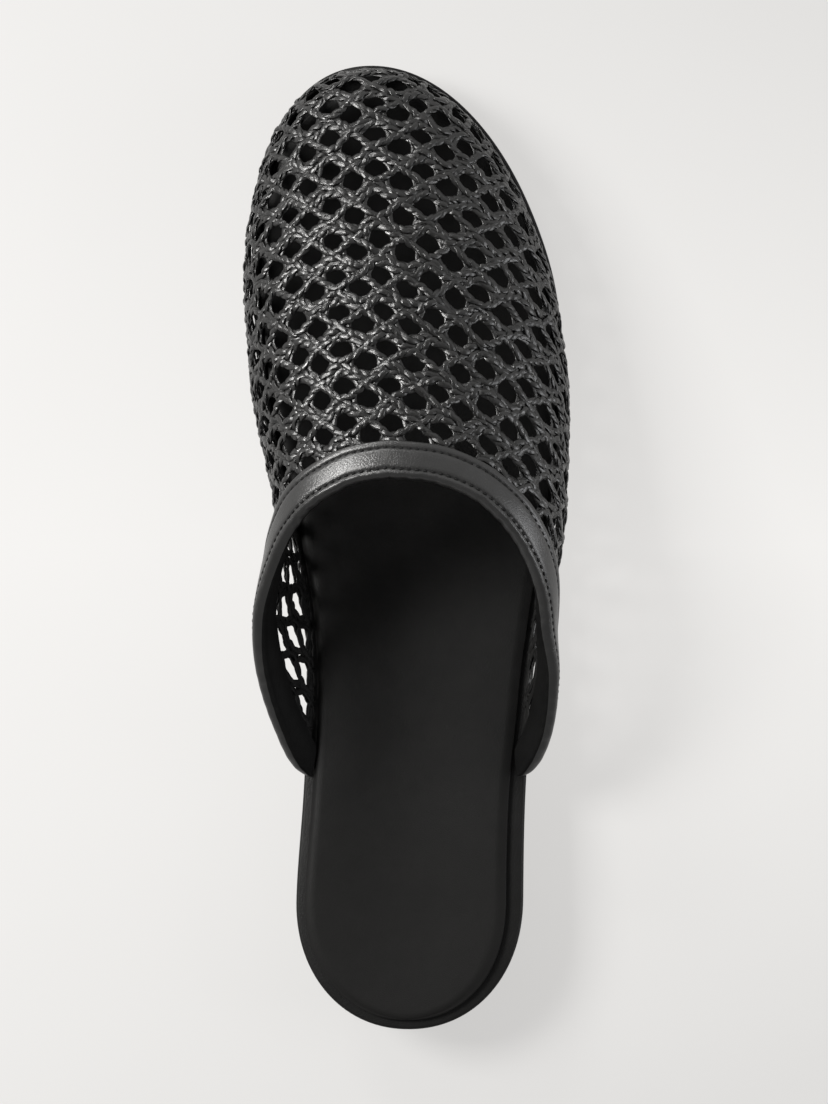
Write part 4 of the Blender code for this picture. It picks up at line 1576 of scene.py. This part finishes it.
@dataclass
class SoleUnit:
    """Leather outsole with a rounded edge, and a low stacked heel."""

    sole: SoleShape
    leather: Material
    stations: int = 130
    under_margin: float = 8.0
    top_margin: float = 5.0
    deepest_inset: float = 12.0
    heel_steps: int = 60
    heel_inset: float = 1.4
    heel_taper: float = 1.6
    heel_breast: float = -59.0
    heel_round: float = 0.8
    heel_foot: float = 0.08
    lift_count: int = 3
    lift_groove: float = 0.22

    def outsole_ring(self, share: float) -> list[Triple]:
        """Builds one section across the outsole.

        Args:
            share: Place from heel (-1) to toe (1).

        Returns:
            Points round the section.
        """
        sole, r = self.sole, self.sole.edge_round
        cut, base = sole.undercut, sole.thickness
        # Each layer holds how far in it lies and how far under the top.
        layers = [(cut + r + self.under_margin, base), (cut + r, base)]
        layers += [(cut + inset, base - up) for inset, up in rounded(r, (60.0, 30.0, 0.0))]
        layers += [(cut * 0.5, base * 0.52), *rounded(r, (0.0, 30.0, 60.0, 90.0)), (r + self.top_margin, 0.0)]
        points = []
        for side, rows in ((1.0, layers), (-1.0, layers[::-1])):
            for inset, depth in rows:
                x, y = sole.edge(share, side, min(inset, self.deepest_inset))
                points.append((x, y, float(sole.top(y)) - depth))
        return points

    def heel_ring(self, step: float) -> list[Triple]:
        """Builds one section across the heel.

        Args:
            step: Place from the heel's back (0) to its breast (1).

        Returns:
            Points round the section.
        """
        sole = self.sole
        foot, head = self.heel_inset + self.heel_taper, self.heel_inset + sole.undercut
        # Each layer holds how far in it lies and its share of the heel's height.
        bend = self.heel_round / 4
        layers = [(foot + self.heel_round, 0.0), (foot + bend, bend / 4), (foot, self.heel_foot)]
        for lift in range(1, self.lift_count + 1):
            height = lift / (self.lift_count + 1)
            for nudge, cut in ((-0.025, 0.0), (-0.008, 1.0), (0.008, 1.0), (0.025, 0.0)):
                layers.append((foot + (head - foot) * height + cut * self.lift_groove, height + nudge))
        layers.append((head, 1.0))
        points = []
        for side, rows in ((1.0, layers), (-1.0, layers[::-1])):
            for inset, rise in rows:
                back = sole.ends(inset)[0]
                y = back + (self.heel_breast - back) * step
                x = sole.centre(y) + side * sole.half_width(y, inset)
                points.append((float(x), y, rise * (float(sole.top(y)) - sole.thickness - sole.gap)))
        return points

    def build(self) -> None:
        """Builds the outsole and the heel, and puts them on the shoe."""
        pace = math.pi / 2 / (self.heel_steps - 0.5)
        steps = [1 - math.cos(pace * (i + 0.5)) for i in range(self.heel_steps)]
        outsole = np.array([self.outsole_ring(share) for share in heel_to_toe(self.stations)])
        heel = np.array([self.heel_ring(step) for step in steps])
        for name, rings, node in (("outsole_leather", outsole, "outsole"), ("heel_stack", heel, "heel")):
            settle(loft(name, rings, self.leather, rings.shape[1] - 1), Slot.SOLE, node)


@dataclass
class Studio:
    """Pale floor, soft light from the upper left, and the camera."""

    floor_material: Material
    floor_size: float = 6.0
    aim: Triple = (0.001345, -0.001571, 0.012)
    distance: float = 1.2
    tilt: float = math.radians(6.0)
    focal_pixels: float = 4506.0
    image_width: float = 828.0
    sensor: float = 36.0
    clip: tuple[float, float] = (0.01, 20.0)
    lamp_aim: Triple = (0.0, 0.0, 0.02)
    air: Colour = (1.0, 0.995, 0.985, 1.0)
    # Each lamp has a name, a place, a size across the shoe and along it, a power in watts and a colour.
    lamps: tuple[tuple[str, Triple, tuple[float, float], float, Triple], ...] = (
        ("key_light", (-0.86, 0.36, 0.96), (0.55, 0.45), 34.0, (1.0, 0.99, 0.97)),
        ("front_light", (-0.6, 1.25, 0.72), (0.4, 0.25), 11.0, (1.0, 0.99, 0.97)),
        ("fill_light", (1.5, 0.0, 0.5), (0.9, 0.8), 14.0, (0.97, 0.98, 1.0)),
    )

    def floor(self) -> None:
        """Lays the floor."""
        half = self.floor_size / 2
        mesh = bpy.data.meshes.new("studio_floor")
        corners = [(-half, -half, 0.0), (half, -half, 0.0), (half, half, 0.0), (-half, half, 0.0)]
        mesh.from_pydata(corners, [], [(0, 1, 2, 3)])
        mesh.materials.append(self.floor_material)
        floor = add("studio_floor", mesh)

    def aim_at(self, made: Piece, place: Vector, right: Vector, back: Vector) -> None:
        """Puts a lamp or the camera in its place, with its right side and its back pointing these ways."""
        axes = Matrix((right, back.cross(right), back)).transposed().to_4x4()
        made.matrix_world = Matrix.Translation(place) @ axes

    def light(self) -> None:
        """Hangs the soft lamps so that they face the shoe."""
        for name, spot, size, power, colour in self.lamps:
            data = bpy.data.lights.new(name, "AREA")
            data.shape = "RECTANGLE"
            data.size, data.size_y = size
            data.energy = power
            data.color = colour
            back = (Vector(spot) - Vector(self.lamp_aim)).normalized()
            right = (Vector((1.0, 0.0, 0.0)) - back.x * back).normalized()
            self.aim_at(add(name, data), Vector(spot), right, back)

    def air_light(self) -> None:
        """Fills the air with pale light, weaker overhead and behind the heel."""
        world = bpy.data.worlds.new("studio_air")
        world.use_nodes = True
        pen = NodePen(world.node_tree)
        way = pen.node("ShaderNodeTexCoord").outputs["Generated"]
        rise = pen.ramp(pen.axis(way, "Z"), 0.6, 0.97, 1.0, 0.35)
        glow = pen.math("MULTIPLY", rise, pen.ramp(pen.axis(way, "Y"), -0.7, 0.2, 0.4, 1.0))
        pen.feed(world.node_tree.nodes["Background"], "Color", self.air)
        pen.feed(world.node_tree.nodes["Background"], "Strength", glow)
        bpy.context.scene.world = world

    def camera(self) -> None:
        """Sets up the camera over the shoe."""
        data = bpy.data.cameras.new("camera")
        data.sensor_fit = "HORIZONTAL"
        data.sensor_width = self.sensor
        data.lens = self.focal_pixels * self.sensor / self.image_width
        data.clip_start, data.clip_end = self.clip
        right = Vector((math.cos(self.tilt), 0.0, -math.sin(self.tilt)))
        back = Vector((math.sin(self.tilt), 0.0, math.cos(self.tilt)))
        camera = add("camera", data)
        self.aim_at(camera, Vector(self.aim) + self.distance * back, right, back)
        bpy.context.scene.camera = camera

    def build(self) -> None:
        """Builds the floor, the lights and the camera."""
        bpy.context.scene.view_settings.view_transform = "Standard"
        self.floor()
        self.light()
        self.air_light()
        self.camera()


def main() -> None:
    """Builds the studio and the shoe, piece by piece."""
    logging.basicConfig(level=logging.INFO, format="%(name)s %(message)s")
    effects = Effects()
    sole = SoleShape()
    shape = UpperShape(sole)
    # Each leather has its dark and light tones, dull and shiny roughness, grain, relief, gloss and painted
    # heel light.
    binding = LeatherFinish("black_binding_leather", 0.006, 0.01, 0.36, 0.28, 1500.0, 0.25, 0.5)
    # The inner leather is the binding leather made duller, and darker as painted shade inside the shoe.
    shaded_lining = LeatherFinish("black_binding_lining", 0.0015, 0.0035, 0.75, 0.6, 1700.0, 0.3, 0.06)
    insole = LeatherFinish("black_insole_leather", 0.0042, 0.006, 0.5, 0.4, 1900.0, 0.2, 0.045, 0.008)
    sole_leather = LeatherFinish("black_sole_leather", 0.003, 0.005, 0.5, 0.4, 1300.0, 0.25, 0.1, 0.0055)
    inner_raffia = RaffiaFinish("black_raffia_inside", 0.002, 0.006, 0.7, 0.5, 0.12)
    Studio(FloorFinish().material(effects)).build()
    SoleUnit(sole, sole_leather.material(effects)).build()
    Insole(sole, insole.material(effects)).build()
    RaffiaVamp(FlatUpper(shape), RaffiaFinish().material(effects), inner_raffia.material(effects)).build()
    sewing = (finish.material(effects) for finish in (binding, shaded_lining, ThreadFinish()))
    CollarBinding(shape, *sewing).build()


if __name__ == "__main__":
    main()
